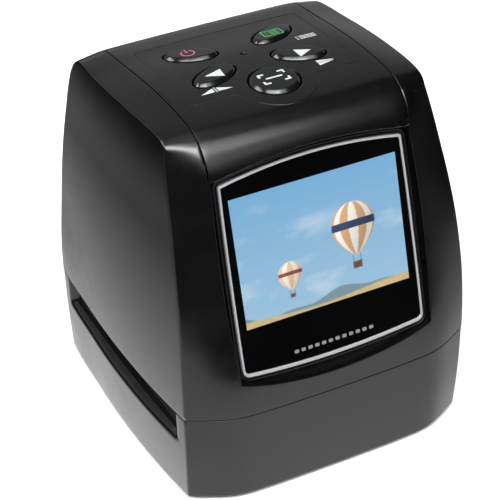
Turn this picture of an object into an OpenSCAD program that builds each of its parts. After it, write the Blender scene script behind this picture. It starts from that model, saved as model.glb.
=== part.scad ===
// Desktop film scanner: a barrel-sided casing with a film tunnel right through
// its base, a tilted screen at the front and five sprung buttons on top.
// Frame: X across (film travels along X), Y to the back, Z up, origin under the
// middle of the casing on the surface that the feet stand on. Millimetres.

/* [Body] */
// Widest width of the casing, across the film tunnel
body_w = 88; // [87:0.5:90]
// Wall of the moulded shells
wall = 2; // [1.8:0.1:2.2]
// Height of the parting line between the base and the upper shell
part_z = 28; // [27.9:0.1:28.3]
// Gap at the parting line and along the cover seams
seam = 0.15; // [0.1:0.05:0.25]
// Half width of the centre strip that the top cover and rear panel fill
strip_x = 28.4; // [28:0.1:28.6]
// Height of the casing's underside over the feet's faces
foot_z = 1.2; // [1:0.1:1.5]

/* [Screen] */
// Lean of the screen away from upright, in degrees
screen_tilt = 13.93; // [13:0.1:15]
// Height of the middle of the picture
screen_z = 67.7; // [67:0.1:68]
// Width of the lit picture
picture_w = 47.6; // [46:0.1:49]
// Height of the lit picture
picture_h = 34.9; // [34:0.1:36]
// Width of the bright trim ring
trim_w = 1; // [0.8:0.1:1.2]

/* [Buttons] */
// Half length of an oval button hole
oval_a = 7.5; // [7.2:0.1:7.8]
// Half width of an oval button hole
oval_b = 4.2; // [4:0.1:4.4]
// Radius of the round button hole
round_r = 7; // [6.6:0.1:7.2]
// Clearance all round a button in its hole
button_gap = 0.3; // [0.25:0.05:0.4]
// How far a button stands over the cover
button_proud = 0.8; // [0.6:0.1:1.2]

/* [Film tunnel] */
// Front end of the tunnel mouth
slot_y0 = -32.8; // [-33.2:0.1:-32.6]
// Back end of the tunnel mouth
slot_y1 = 38.1; // [38:0.1:38.4]
// Top of the casing wall under the tunnel mouth
slot_z = 19; // [18.6:0.1:19.4]
// Top of the tunnel floor
gate_floor = 21.2; // [21:0.1:21.4]
// Underside of the tunnel roof
gate_roof = 27.4; // [27.3:0.1:27.6]
// Width of the film frame opening
frame_w = 38; // [37:0.5:40]
// Height of the film frame opening
frame_h = 26; // [25:0.5:28]

/* [Hidden] */

black = "#2b2d2e";
side_r = 333;          // radius of the barrel-shaped sides
belt_z = 30.2;         // height of the widest point
top_r = 148.5;         // radius of the buttons' crowned tops
top_z = 102.75;        // highest point
gate_x = 40.2;         // half length of the tunnel's roof and floor plates
axis_y = 2.6;          // optical axis, in the middle of the film tunnel
// Power, menu, left, right, then the round button: x, y and turn of each
KEYS = [[-11.9, 13.8, -27], [11.9, 13.8, 27], [-12.1, -0.6, 24.5],
        [12.1, -0.6, -24.5], [0, -10.3, 0]];
POSTS = [[-19, -12.5], [19, -12.5], [-5.5, 20.5], [5.5, 20.5]];   // of the key board
board_top = 93;        // upper face of the key board
BOARD_HOLES = [[-5, 37], [32.8, 37], [-5, 84], [10.4, 84]];   // y, z of the main board's screws
switch_top = 96.4;     // upper face of the switch bodies

// --- outer form ---------------------------------------------------------
// Side profile (y, z): up the back, over the crowned top, down the leaning
// front to the upright chin. It runs the full width.
PROFILE = [[44, -2], [44.2, 30], [43.6, 50], [42.4, 66], [40.6, 80], [38.9, 90],
  [37.2, 94.6], [34.4, 97.6], [29.6, 99.8], [22, 101.2], [12, 102.3], [0, 102.75],
  [-8, 102.55], [-14, 102.1], [-19.6, 101.5], [-24.2, 99.9], [-27.4, 97.4],
  [-29.4, 94.2], [-30.9, 90], [-43.2, 41], [-43.95, 37], [-44.1, 33],
  [-44.05, 27.9], [-42.4, -2]];
// Front corner line (y, z), seen from the side: one long convex arc
STRIP = [[120, -2], [120, 110], [-16, 110], [-16.2, 101.4], [-20.6, 100.6],
  [-22.4, 99], [-22.9, 97], [-24.65, 92.3], [-27.1, 86], [-30.6, 76],
  [-34.1, 64], [-36.2, 51], [-37.1, 37], [-37.1, 28], [-36.6, 14], [-35.3, -2]];
strip_slope = 0.36;    // how fast the corner strips run back, per mm across
top_fall = 0.195;      // how fast the top strips fall, per mm across
// Half width at the front corner line at height z
function corner_x(z) = z > 28 ? 42 - pow(z - 28, 2) / 1050 : 42 - pow(28 - z, 2) / 500;
function unit(v) = v / norm(v);
// A closed outline moved inwards by d, with mitred corners
function inset(p, d) = let (n = len(p)) [for (k = [0:n - 1]) let (u = unit(p[k] - p[(k + n - 1) % n]),
  v = unit(p[(k + 1) % n] - p[k]), a = [-u[1], u[0]], b = [-v[1], v[0]]) p[k] + (a + b) * d / (1 + a * b)];

module across() rotate([90, 0, 90]) translate([0, 0, -70]) linear_extrude(140) children();
module corner_strip(i) {
  c = 1 / sqrt(1 + strip_slope * strip_slope);
  rotate([0, 0, atan(strip_slope)]) across()
    polygon(inset([for (p = STRIP) [c * (p[0] - strip_slope * corner_x(min(p[1], 103))), p[1]]], i));
}
module top_strip(i) {
  t = 1 / sqrt(1 + top_fall * top_fall);
  rotate([0, atan(top_fall), 0]) across()
    polygon(inset(concat([[70, -60], [70, 90]], [for (p = PROFILE) if (p[1] > 99.5) [p[0] * 1.01, t * (p[1] + top_fall * strip_x)]],
      [[-70, 80], [-70, -60]]), i));
}
module outer(i = 0) {
  intersection() {
    across() polygon(inset(PROFILE, i));
    corner_strip(i);
    mirror([1, 0, 0]) corner_strip(i);
    top_strip(i);
    mirror([1, 0, 0]) top_strip(i);
    translate([side_r - body_w / 2, 0, belt_z]) sphere(r = side_r - i, $fn = 240);
    translate([body_w / 2 - side_r, 0, belt_z]) sphere(r = side_r - i, $fn = 240);
  }
}

module shell() difference() { outer(0); outer(wall); }
module box(a, b) translate(a) cube(b - a);

// --- screen plane: u across, v up the slope, w out of the screen ----------
module on_screen(w = 0) translate([0, -34, screen_z + 0.17]) rotate([90 - screen_tilt, 0, 0])
  translate([0, 0, w]) children();

// outline of four shallow arcs: half widths at the corners and the bulges
module arched(x0, ytop, ybot, sag_t, sag_b, sag_s) {
  rt = (x0 * x0 + sag_t * sag_t) / (2 * sag_t);
  rb = (x0 * x0 + sag_b * sag_b) / (2 * sag_b);
  hh = (ytop - ybot) / 2;
  rs = (hh * hh + sag_s * sag_s) / (2 * sag_s);
  intersection() {
    translate([0, ytop + sag_t - rt]) circle(r = rt, $fn = 180);
    translate([0, ybot - sag_b + rb]) circle(r = rb, $fn = 180);
    translate([x0 + sag_s - rs, (ytop + ybot) / 2]) circle(r = rs, $fn = 240);
    translate([rs - x0 - sag_s, (ytop + ybot) / 2]) circle(r = rs, $fn = 240);
  }
}
module recess_2d(g = 0) arched(27.9 + g, 23.4 + g, -30.6 - g, 2.5, 4, 1);
module trim_2d(g = 0) arched(26.4 + g, 21.8 + g, -29.7 - g, 3.3, 2.8, 0.65);

// --- oval of the four outer buttons ----------------------------------------
module oval(a, b) polygon([for (i = [0:39]) [a * cos(9 * i), b * sin(9 * i)]]);
module key_2d(k, g) {
  if (k == 4) circle(r = round_r + g, $fn = 64);
  else oval(oval_a + g, oval_b + g);
}
module at_key(k) translate([KEYS[k][0], KEYS[k][1], 0]) rotate([0, 0, KEYS[k][2]]) children();

// --- casing ---------------------------------------------------------------
PILLARS = [[-24, -37.2], [24, -37.2], [-24, 38.7], [24, 38.7]];

module base_shell() color(black) difference() {
  union() {
    intersection() {
      difference() {
        outer(0);
        intersection() { outer(wall); box([-60, -60, foot_z + wall], [60, 60, 60]); }
      }
      box([-60, -60, foot_z], [60, 60, part_z]);
    }
    // screw pillars, board posts and gate rests
    for (p = PILLARS) translate([p[0], p[1], foot_z + 1]) cylinder(r = 2.45, h = part_z - 0.1 - foot_z - 1, $fn = 32);
    for (x = [-23, 23], y = [axis_y - 16.6, axis_y + 16.6]) translate([x, y, foot_z + 1])
      cylinder(r = 1.9, h = 2.8 - 1, $fn = 24);
  }
  // mouths of the film tunnel, through both side walls
  box([-60, slot_y0, slot_z], [60, slot_y1, 60]);
  // slanted lower lips
  for (s = [-1, 1]) translate([0, (slot_y0 + slot_y1) / 2, 0]) rotate([90, 0, 0])
    translate([0, 0, -(slot_y1 - slot_y0) / 2]) linear_extrude(slot_y1 - slot_y0)
      polygon([[s * 60, slot_z - 4], [s * 60, slot_z + 1], [s * 41, slot_z + 1], [s * 41, slot_z - 0.2], [s * 43.2, slot_z - 1.2]]);
  for (p = PILLARS) translate([p[0], p[1], 0]) {
    cylinder(r = 1.35, h = 60, $fn = 24);
    cylinder(r = 1.95, h = 17, $fn = 24);
  }
  // shallow seats for the feet
  for (x = [-31, 31], y = [-27, 34]) translate([x, y, foot_z - 1]) cylinder(r = 4.1, h = 1.5, $fn = 40);
}

module main_shell() color(black) difference() {
  union() {
    intersection() {
      shell();
      box([-60, -60, part_z + seam], [60, 60, 110]);
    }
    // blind pillars that take the base screws, each ribbed to its wall
    for (p = PILLARS) {
      translate([p[0], p[1], part_z + seam]) cylinder(r = 2.45, h = 10, $fn = 32);
      translate([p[0] - 1, p[1] > 0 ? p[1] : -42.8, part_z + seam]) cube([2, p[1] > 0 ? 42.8 - p[1] : p[1] + 42.8, 10]);
    }
  }
  // centre strip: room for the top cover and the rear panel
  box([-strip_x, -60, 90.1], [strip_x, 60, 110]);
  box([-strip_x, 20, 41.9], [strip_x, 60, 100]);
  // screen recess
  on_screen(-6) linear_extrude(30) recess_2d(0);
  for (p = PILLARS) translate([p[0], p[1], 20]) cylinder(r = 1.0, h = 16.5, $fn = 24);
}

module top_cover() color(black) difference() {
  union() {
    intersection() {
      shell();
      box([-strip_x + seam, -60, 90.2], [strip_x - seam, 60, 110]);
      union() {
        box([-60, -60, 90.2], [60, 0, 110]);
        box([-60, -1, 94.6], [60, 60, 110]);
      }
    }
    // stand-offs that carry the key board
    for (p = POSTS) translate([p[0], p[1], board_top]) cylinder(r = 2, h = 101.4 - board_top - (p[1] < 0 ? 0.4 : 0.8), $fn = 24);
  }
  on_screen(-8) linear_extrude(40) recess_2d(0);
  for (k = [0:4]) at_key(k) translate([0, 0, 90]) linear_extrude(20) key_2d(k, 0);
  translate([0, 6.5, 90]) cylinder(r = 0.8, h = 20, $fn = 24);
  for (p = POSTS) translate([p[0], p[1], 90]) cylinder(r = 0.75, h = 7, $fn = 20);
}

module rear_panel() color(black) difference() {
  union() {
    intersection() {
      shell();
      box([-strip_x + seam, 20, 41.9 + seam], [strip_x - seam, 60, 94.6 - seam]);
    }
  }
  // card slot and cable inlet
  box([22.2, 30, 59.6], [26.4, 60, 87.4]);
  box([21.5, 30, 47.7], [26.4, 60, 56.3]);
  // vents
  for (i = [0:5]) box([-20, 30, 56 + i * 4], [-4, 60, 57.4 + i * 4]);
}

module rubber_feet() color("#1c1c1c") for (x = [-31, 31], y = [-27, 34]) translate([x, y, 0])
  difference() {
    cylinder(r = 4, h = foot_z + 0.5, $fn = 40);
    translate([0, 0, -1]) cylinder(r = 1.6, h = 1.5, $fn = 24);
  }

module base_screws() color("silver") for (p = PILLARS) translate([p[0], p[1], 0]) difference() {
  union() {
    translate([0, 0, 17.0]) cylinder(r = 1.0, h = 17.5, $fn = 24);
    translate([0, 0, 15.4]) cylinder(r = 1.85, h = 1.6, $fn = 24);
  }
  translate([-1.2, -0.2, 15]) cube([2.4, 0.4, 1]);
  translate([-0.2, -1.2, 15]) cube([0.4, 2.4, 1]);
}

// --- screen ----------------------------------------------------------------
module screen_bezel() color("#151617") on_screen() difference() {
  union() {
    translate([0, 0, -2.6]) linear_extrude(2.6) recess_2d(-0.1);
    translate([0, 0, -4]) linear_extrude(1.4) intersection() { recess_2d(1.8); translate([-40, -31.6]) square([80, 60]); }
  }
  translate([0, 0, -2]) linear_extrude(4) trim_2d(0.05);
  translate([0, 0, -5]) linear_extrude(6) translate([-picture_w / 2 - 1.5, -picture_h / 2 - 1.5]) square([picture_w + 3, picture_h + 3]);
}

module screen_trim() color("#cfcfd4") on_screen() difference() {
  translate([0, 0, -1.5]) linear_extrude(1.9) trim_2d(0);
  translate([0, 0, -3]) linear_extrude(5) trim_2d(-trim_w);
}

module screen_window() color("#0c0c0d") on_screen(-1.5) linear_extrude(1.5) trim_2d(-trim_w - 0.05);

module lcd_panel() color("#7fb2dd") on_screen(-6.6) difference() {
  translate([-28, -22, 0]) cube([56, 43, 2.5]);
  translate([-picture_w / 2, -picture_h / 2, 2.3]) cube([picture_w, picture_h, 1]);
}

module lcd_bracket() color("#3a3c3e") on_screen(-8.3) difference() {
  translate([-30, -24, 0]) cube([60, 47, 3.6]);
  translate([-28.15, -22.15, 1.6]) cube([56.3, 43.3, 4]);
  translate([-20, -15, -1]) cube([40, 29, 4]);
  translate([-9, -26, 1.0]) cube([18, 6, 6]);
}

module ribbon(pts, w, t = 0.25) {
  // flat lead of width w: pts is its route seen edge on
  n = len(pts) - 1;
  side = [for (i = [0:n]) let (u = unit(pts[min(i + 1, n)] - pts[min(i, n - 1)]), v = unit(pts[max(i, 1)] - pts[max(i - 1, 0)]),
    a = [-u[1], u[0]], b = [-v[1], v[0]]) pts[i] + (a + b) * t / (1 + a * b)];
  linear_extrude(w) polygon(concat(pts, [for (i = [n:-1:0]) side[i]]));
}

module lcd_ribbon() color("#b8742c") translate([0, 0, 46.5])
  ribbon([[-4, -28.6], [8, -28.6], [20, -25], [23.5, -18], [24.5, -10], [25.6, -4]], 11);

// --- keys ------------------------------------------------------------------
module key_board() color("#1f6b3a") difference() {
  translate([-22, -17, board_top - 1.6]) cube([44, 40, 1.6]);
  for (p = POSTS) translate([p[0], p[1], 80]) cylinder(r = 1, h = 20, $fn = 20);
}

module tact_switches() color("#202020") for (k = [0:4]) translate([KEYS[k][0], KEYS[k][1], board_top]) difference() {
  translate([-3, -3, 0]) cube([6, 6, switch_top - board_top]);
  translate([0, 0, switch_top - board_top - 1.9]) cylinder(r = 2.05, h = 3, $fn = 32);
}

module plunger(k) color("#e8e8e4") translate([KEYS[k][0], KEYS[k][1], switch_top - 1.05]) cylinder(r = 1.7, h = 1.95, $fn = 32);

module button_cap(k) color("#26282a") intersection() {
  union() {
    at_key(k) translate([0, 0, 98.9]) linear_extrude(10) key_2d(k, -button_gap);
    at_key(k) translate([0, 0, 98.2]) linear_extrude(0.9) key_2d(k, 0.7);
    translate([KEYS[k][0], KEYS[k][1], switch_top + 0.9]) cylinder(r = 2.2, h = 2, $fn = 32);
  }
  translate([0, 0.3, top_z - top_r]) rotate([0, 90, 0]) cylinder(r = top_r + button_proud, h = 100, center = true, $fn = 360);
}

module power_button() button_cap(0);
module menu_button() button_cap(1);
module left_button() button_cap(2);
module right_button() button_cap(3);
module scan_button() button_cap(4);
module power_plunger() plunger(0);
module menu_plunger() plunger(1);
module left_plunger() plunger(2);
module right_plunger() plunger(3);
module scan_plunger() plunger(4);

module status_led() color("#f4e9c8") translate([-0.8, 5.7, board_top]) cube([1.6, 1.6, 0.8]);
module status_light_pipe() color("#e6e6e0") union() {
  translate([0, 6.5, board_top + 0.8]) cylinder(r = 0.75, h = 102.4 - board_top - 0.8, $fn = 24);
  translate([0, 6.5, 97.4]) cylinder(r = 1.3, h = 1.2, $fn = 24);
}
module key_ribbon() color("#b8742c") translate([0, 6, 0]) rotate([90, 0, 0])
  ribbon([[14, 91.1], [20, 91.1], [23.6, 90.2], [24.9, 88], [25.7, 84]], 9);

// --- boards ----------------------------------------------------------------
module main_board() color("#1f6b3a") difference() {
  box([26, -8, 34], [27.6, 35.8, 87]);
  for (q = BOARD_HOLES) translate([20, q[0], q[1]]) rotate([0, 90, 0]) cylinder(r = 1.1, h = 20, $fn = 20);
}
module main_processor() color("#18181a") box([27.6, 6, 54], [28.8, 20, 68]);
module memory_chip() color("#18181a") box([27.6, 6, 40], [28.7, 18, 47]);
module board_capacitors() color("#8f9499") for (y = [24, 29], z = [60, 66, 72]) translate([27.6, y, z]) rotate([0, 90, 0]) cylinder(r = 1.8, h = 3.4, $fn = 24);
module card_socket() color("#b9bcc0") difference() {
  box([22.6, 12, 60], [26, 37.9, 87]);
  box([23.2, 13.5, 61.2], [25.4, 60, 85.8]);
}
module usb_socket() color("#b9bcc0") difference() {
  box([21.9, 31.8, 48.1], [26, 41.6, 55.9]);
  box([22.4, 34, 48.6], [25.5, 60, 55.4]);
}

// --- optics ----------------------------------------------------------------
module optics_tower() color("#1d1e1f") difference() {
  union() {
    translate([-17, axis_y - 17, gate_roof + 2.2]) cube([34, 34, 76 - gate_roof - 2.2]);
  }
  translate([-15, axis_y - 15, 20]) cube([30, 30, 34.4]);
  translate([-15, axis_y - 15, 57.4]) cube([30, 30, 40]);
  translate([0, axis_y, 40]) cylinder(r = 7.05, h = 30, $fn = 48);
  for (x = [-16, 16], y = [axis_y - 16, axis_y + 16]) translate([x, y, 70]) cylinder(r = 0.5, h = 10, $fn = 16);
}
module lens_barrel() color("#141414") translate([0, axis_y, 0]) difference() {
  union() {
    translate([0, 0, 46]) cylinder(r = 7, h = 16, $fn = 48);
    translate([0, 0, 46]) cylinder(r = 8.2, h = 2, $fn = 48);
  }
  translate([0, 0, 40]) cylinder(r = 3.2, h = 30, $fn = 40);
  translate([0, 0, 45]) cylinder(r = 5.2, h = 6, $fn = 40);
  translate([0, 0, 56]) cylinder(r = 5.2, h = 8, $fn = 40);
}
module lens_elements() color("#bcd2d8") translate([0, axis_y, 0]) {
  translate([0, 0, 48]) cylinder(r = 5.1, h = 2.9, $fn = 40);
  translate([0, 0, 56.1]) cylinder(r = 5.1, h = 2.4, $fn = 40);
}
module sensor_board() color("#1f6b3a") difference() {
  translate([-18, axis_y - 18, 76]) cube([36, 36, 1.6]);
  for (x = [-16, 16], y = [axis_y - 16, axis_y + 16]) translate([x, y, 70]) cylinder(r = 0.6, h = 10, $fn = 16);
}
module image_sensor() color("#39424a") translate([-7, axis_y - 7, 74.4]) cube([14, 14, 1.6]);
module sensor_ribbon() color("#b8742c") translate([0, 8, 0]) rotate([90, 0, 0])
  ribbon([[10, 77.6], [16, 78.2], [20, 79.6], [24, 81], [25.7, 83]], 8);

// --- film tunnel -------------------------------------------------------------
module film_gate_lower() color("#1d1e1f") difference() {
  union() {
    intersection() {
      outer(wall + 0.1);
      union() {
        box([-gate_x, slot_y0, gate_floor - 2], [gate_x, slot_y1, gate_floor]);
        box([-gate_x, slot_y0 - 0.5, gate_floor - 2], [gate_x, slot_y0 + 2, part_z - 0.8]);
        box([-gate_x, slot_y1 - 2.1, gate_floor - 2], [gate_x, slot_y1 + 0.3, part_z - 0.8]);
      }
    }
    // housing of the detent
    translate([0, slot_y0 + 0.2, 24.3]) rotate([90, 0, 0]) cylinder(r = 3, h = 7.6, $fn = 40);
  }
  translate([-frame_w / 2, axis_y - frame_h / 2, 0]) cube([frame_w, frame_h, 40]);
  // bore of the detent, open into the tunnel
  translate([0, slot_y0 + 5, 24.3]) rotate([90, 0, 0]) cylinder(r = 1.95, h = 11.6, $fn = 40);
  for (p = PILLARS) translate([p[0], p[1], 10]) cylinder(r = 2.6, h = 30, $fn = 32);
}
module film_gate_upper() color("#1d1e1f") difference() {
  intersection() {
    outer(wall + 0.1);
    union() {
      box([-gate_x, slot_y0, gate_roof], [gate_x, slot_y1, gate_roof + 2.1]);
      box([-gate_x, slot_y0, gate_roof], [gate_x, slot_y0 + 2, gate_roof + 6]);
      box([-gate_x, slot_y1 - 2, gate_roof], [gate_x, slot_y1, gate_roof + 6]);
    }
  }
  translate([-frame_w / 2 - 1, axis_y - frame_h / 2 - 1, 0]) cube([frame_w + 2, frame_h + 2, 40]);
  for (p = PILLARS) translate([p[0], p[1], 10]) cylinder(r = 2.6, h = 40, $fn = 32);
}
module detent_plunger() color("#d8d8d4") translate([0, 0, 24.3]) rotate([-90, 0, 0]) {
  translate([0, 0, -37]) cylinder(r = 1.6, h = 6.1, $fn = 32);
  translate([0, 0, -30.9]) sphere(r = 1.15, $fn = 32);
}

// a wire helix swept along its own rule
module detent_spring() color("silver") {
  turns = 5; per = 12; sides = 6; rw = 0.2; rc = 1.2;
  y0 = -39.0; y1 = -37.25;
  n = turns * per;
  pts = [for (i = [0:n], j = [0:sides - 1]) let (a = 360 * i / per, b = 360 * j / sides,
    r = rc + rw * cos(b)) [r * cos(a), y0 + (y1 - y0) * i / n + rw * sin(b) * 0.6, 24.3 + r * sin(a)]];
  faces = concat([[for (j = [0:sides - 1]) j]],
    [for (i = [0:n - 1], j = [0:sides - 1]) [i * sides + j, (i + 1) * sides + j, (i + 1) * sides + (j + 1) % sides, i * sides + (j + 1) % sides]],
    [[for (j = [sides - 1:-1:0]) n * sides + j]]);
  polyhedron(points = pts, faces = faces);
}

// --- light box under the tunnel ------------------------------------------------
module light_box() color("#e9e9e4") difference() {
  translate([-25, axis_y - 18, 5.6]) cube([50, 36, gate_floor - 4 - 5.6]);
  translate([-23, axis_y - 16, 0]) cube([46, 32, 40]);
}
module light_diffuser() color("#f4f4ef") translate([-24, axis_y - 17, gate_floor - 4]) cube([48, 34, 1.95]);
module light_board() color("#1f6b3a") difference() {
  translate([-26, axis_y - 19, 4]) cube([52, 38, 1.6]);
  for (x = [-23, 23], y = [axis_y - 16.6, axis_y + 16.6]) translate([x, y, 0]) cylinder(r = 1.1, h = 10, $fn = 20);
}
module light_leds() color("#fff3b0") for (x = [-14, 0, 14], y = [-8, 8]) translate([x - 1.75, axis_y + y - 1.4, 5.6]) cube([3.5, 2.8, 1.2]);
module light_lead() color("#b8742c") union() {
  box([25.2, 10, 5.6], [31, 12, 5.9]);
  box([29, 10, 5.6], [31, 39.8, 5.9]);
  box([29, 39.5, 5.6], [31, 39.8, 36]);
  box([27.6, 35.1, 35.7], [31, 39.8, 36]);
}
module board_screws() color("silver") {
  for (q = BOARD_HOLES) translate([27.6, q[0], q[1]]) rotate([0, 90, 0]) cylinder(r = 2, h = 1.3, $fn = 24);
  for (q = BOARD_HOLES) translate([23.5, q[0], q[1]]) rotate([0, 90, 0]) cylinder(r = 1.0, h = 4.1, $fn = 24);
  for (x = [-16, 16], y = [axis_y - 16, axis_y + 16]) translate([x, y, 77.6]) cylinder(r = 1.2, h = 1, $fn = 20);
  for (x = [-16, 16], y = [axis_y - 16, axis_y + 16]) translate([x, y, 72]) cylinder(r = 0.5, h = 5.6, $fn = 20);
  for (p = POSTS) translate([p[0], p[1], board_top - 2.8]) cylinder(r = 1.6, h = 1.2, $fn = 20);
  for (p = POSTS) translate([p[0], p[1], board_top - 1.7]) cylinder(r = 0.75, h = 5.5, $fn = 20);
}

base_shell();
main_shell();
top_cover();
rear_panel();
screen_bezel();
screen_trim();
screen_window();
lcd_panel();
lcd_bracket();
lcd_ribbon();
key_board();
key_ribbon();
tact_switches();
status_led();
status_light_pipe();
power_button();
power_plunger();
menu_button();
menu_plunger();
left_button();
left_plunger();
right_button();
right_plunger();
scan_button();
scan_plunger();
main_board();
main_processor();
memory_chip();
board_capacitors();
card_socket();
usb_socket();
optics_tower();
lens_barrel();
lens_elements();
sensor_board();
image_sensor();
sensor_ribbon();
film_gate_upper();
film_gate_lower();
light_box();
light_diffuser();
light_board();
light_leds();
light_lead();
detent_plunger();
detent_spring();
base_screws();
board_screws();
rubber_feet();
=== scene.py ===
import math
import bmesh
import bpy
import numpy as np
from mathutils import Matrix, Vector


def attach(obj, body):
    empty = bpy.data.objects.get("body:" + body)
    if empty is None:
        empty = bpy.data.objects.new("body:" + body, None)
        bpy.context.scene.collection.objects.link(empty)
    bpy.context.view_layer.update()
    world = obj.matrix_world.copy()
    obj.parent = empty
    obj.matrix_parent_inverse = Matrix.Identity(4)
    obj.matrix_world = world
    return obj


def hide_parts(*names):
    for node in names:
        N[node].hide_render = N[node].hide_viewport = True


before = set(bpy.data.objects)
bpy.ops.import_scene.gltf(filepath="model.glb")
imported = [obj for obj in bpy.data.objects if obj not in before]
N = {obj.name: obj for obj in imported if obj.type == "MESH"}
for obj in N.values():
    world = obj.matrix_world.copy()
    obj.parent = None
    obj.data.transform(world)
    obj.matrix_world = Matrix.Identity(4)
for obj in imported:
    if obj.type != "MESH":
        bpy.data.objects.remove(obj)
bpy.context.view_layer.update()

MM = 0.001
BODY = "casing"

# ---------------------------------------------------------------- helpers


def curve_of(pts, key=None):
    """Monotone-free smooth curve by chord length: returns f(s in 0..1)."""
    p = np.asarray(pts, float)
    k = p if key is None else np.asarray(key, float)
    d = np.r_[0, np.cumsum(np.sqrt(np.linalg.norm(np.diff(k, axis=0), axis=1)))]
    # centripetal parameter, cubic by finite differences (Hermite)
    m = np.zeros_like(p)
    for i in range(len(p)):
        if i == 0:
            m[i] = (p[1] - p[0]) / (d[1] - d[0])
        elif i == len(p) - 1:
            m[i] = (p[-1] - p[-2]) / (d[-1] - d[-2])
        else:
            h0, h1 = d[i] - d[i - 1], d[i + 1] - d[i]
            m[i] = ((p[i] - p[i - 1]) / h0 * h1 + (p[i + 1] - p[i]) / h1 * h0) / (h0 + h1)

    def f(s):
        s = np.clip(np.asarray(s, float), 0, d[-1])
        i = np.clip(np.searchsorted(d, s, side="right") - 1, 0, len(p) - 2)
        h = (d[i + 1] - d[i])[..., None]
        u = ((s - d[i])[..., None]) / h
        h00, h10 = 2 * u**3 - 3 * u**2 + 1, u**3 - 2 * u**2 + u
        h01, h11 = -2 * u**3 + 3 * u**2, u**3 - u**2
        return h00 * p[i] + h10 * h * m[i] + h01 * p[i + 1] + h11 * h * m[i + 1]

    f.knots = d
    return f


def mesh_obj(name, verts, faces, body=BODY, mats=(), smooth=True, scale=MM):
    me = bpy.data.meshes.new(name)
    v = (np.asarray(verts, float) * scale).tolist()
    me.from_pydata(v, [], [list(map(int, f)) for f in faces])
    me.update()
    o = bpy.data.objects.new(name, me)
    bpy.context.scene.collection.objects.link(o)
    for m in mats:
        me.materials.append(m)
    if smooth:
        me.shade_smooth()
    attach(o, body)
    return o


def grid_faces(nr, nc, flip=False, off=0, wrap=False):
    out = []
    cc = nc if wrap else nc - 1
    for i in range(nr - 1):
        for j in range(cc):
            k = (j + 1) % nc
            f = [off + i * nc + j, off + i * nc + k, off + (i + 1) * nc + k, off + (i + 1) * nc + j]
            out.append(f[::-1] if flip else f)
    return out


class Build:
    """Collects vertices and faces, and welds them."""

    def __init__(self):
        self.v, self.f = [], []

    def grid(self, g, flip=False):
        nr, nc = g.shape[:2]
        off = len(self.v)
        self.v += g.reshape(-1, 3).tolist()
        self.f += grid_faces(nr, nc, flip, off)

    def faces(self, v, f):
        off = len(self.v)
        self.v += [list(p) for p in v]
        self.f += [[off + i for i in q] for q in f]

    def mirror(self):
        n = len(self.v)
        self.v += [[-p[0], p[1], p[2]] for p in self.v]
        self.f += [[i + n for i in q][::-1] for q in self.f]

    def obj(self, name, weld=0.004, recalc=False, **kw):
        o = mesh_obj(name, self.v, self.f, **kw)
        bm = bmesh.new()
        bm.from_mesh(o.data)
        bmesh.ops.remove_doubles(bm, verts=bm.verts, dist=weld * MM)
        bad = [f for f in bm.faces if f.calc_area() < 1e-13]
        if bad:
            bmesh.ops.delete(bm, geom=bad, context="FACES")
        if recalc:
            bmesh.ops.recalc_face_normals(bm, faces=bm.faces)
        bm.to_mesh(o.data)
        bm.free()
        o.data.shade_smooth()
        return o


def apply_mods(o):
    dg = bpy.context.evaluated_depsgraph_get()
    dg.update()
    me = bpy.data.meshes.new_from_object(o.evaluated_get(dg), preserve_all_data_layers=True, depsgraph=dg)
    o.modifiers.clear()
    old = o.data
    o.data = me
    me.name = o.name
    bpy.data.meshes.remove(old)
    return o


def bevel(o, w, seg=2, angle=None, profile=0.5, weight=False):
    m = o.modifiers.new("edge", "BEVEL")
    m.width, m.segments, m.profile = w * MM, seg, profile
    if weight:
        m.limit_method = "WEIGHT"
    else:
        m.limit_method = "ANGLE"
        m.angle_limit = math.radians(angle)
    m.use_clamp_overlap = True
    m.harden_normals = False
    m.miter_outer = "MITER_ARC"
    return m


# ---------------------------------------------------------------- the form (mm)
SIDE_R, BELT = 333.0, 30.2


def ease(t):
    t = np.clip(t, 0, 1)
    return t * t * (3 - 2 * t)


def side_x(y, z):
    """Half width of the casing on its barrel-shaped side."""
    y, z = np.asarray(y, float), np.asarray(z, float)
    k = np.where(z < BELT, 0.62, 1.0)
    x = np.sqrt(SIDE_R**2 - y**2 - k * (z - BELT) ** 2) - (SIDE_R - 43.98)
    # a little fuller at the shoulders and low at the back
    return x + 0.6 * ease((z - 78) / 20) + 0.65 * ease((y - 20) / 23) * ease((55 - z) / 23)


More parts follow.
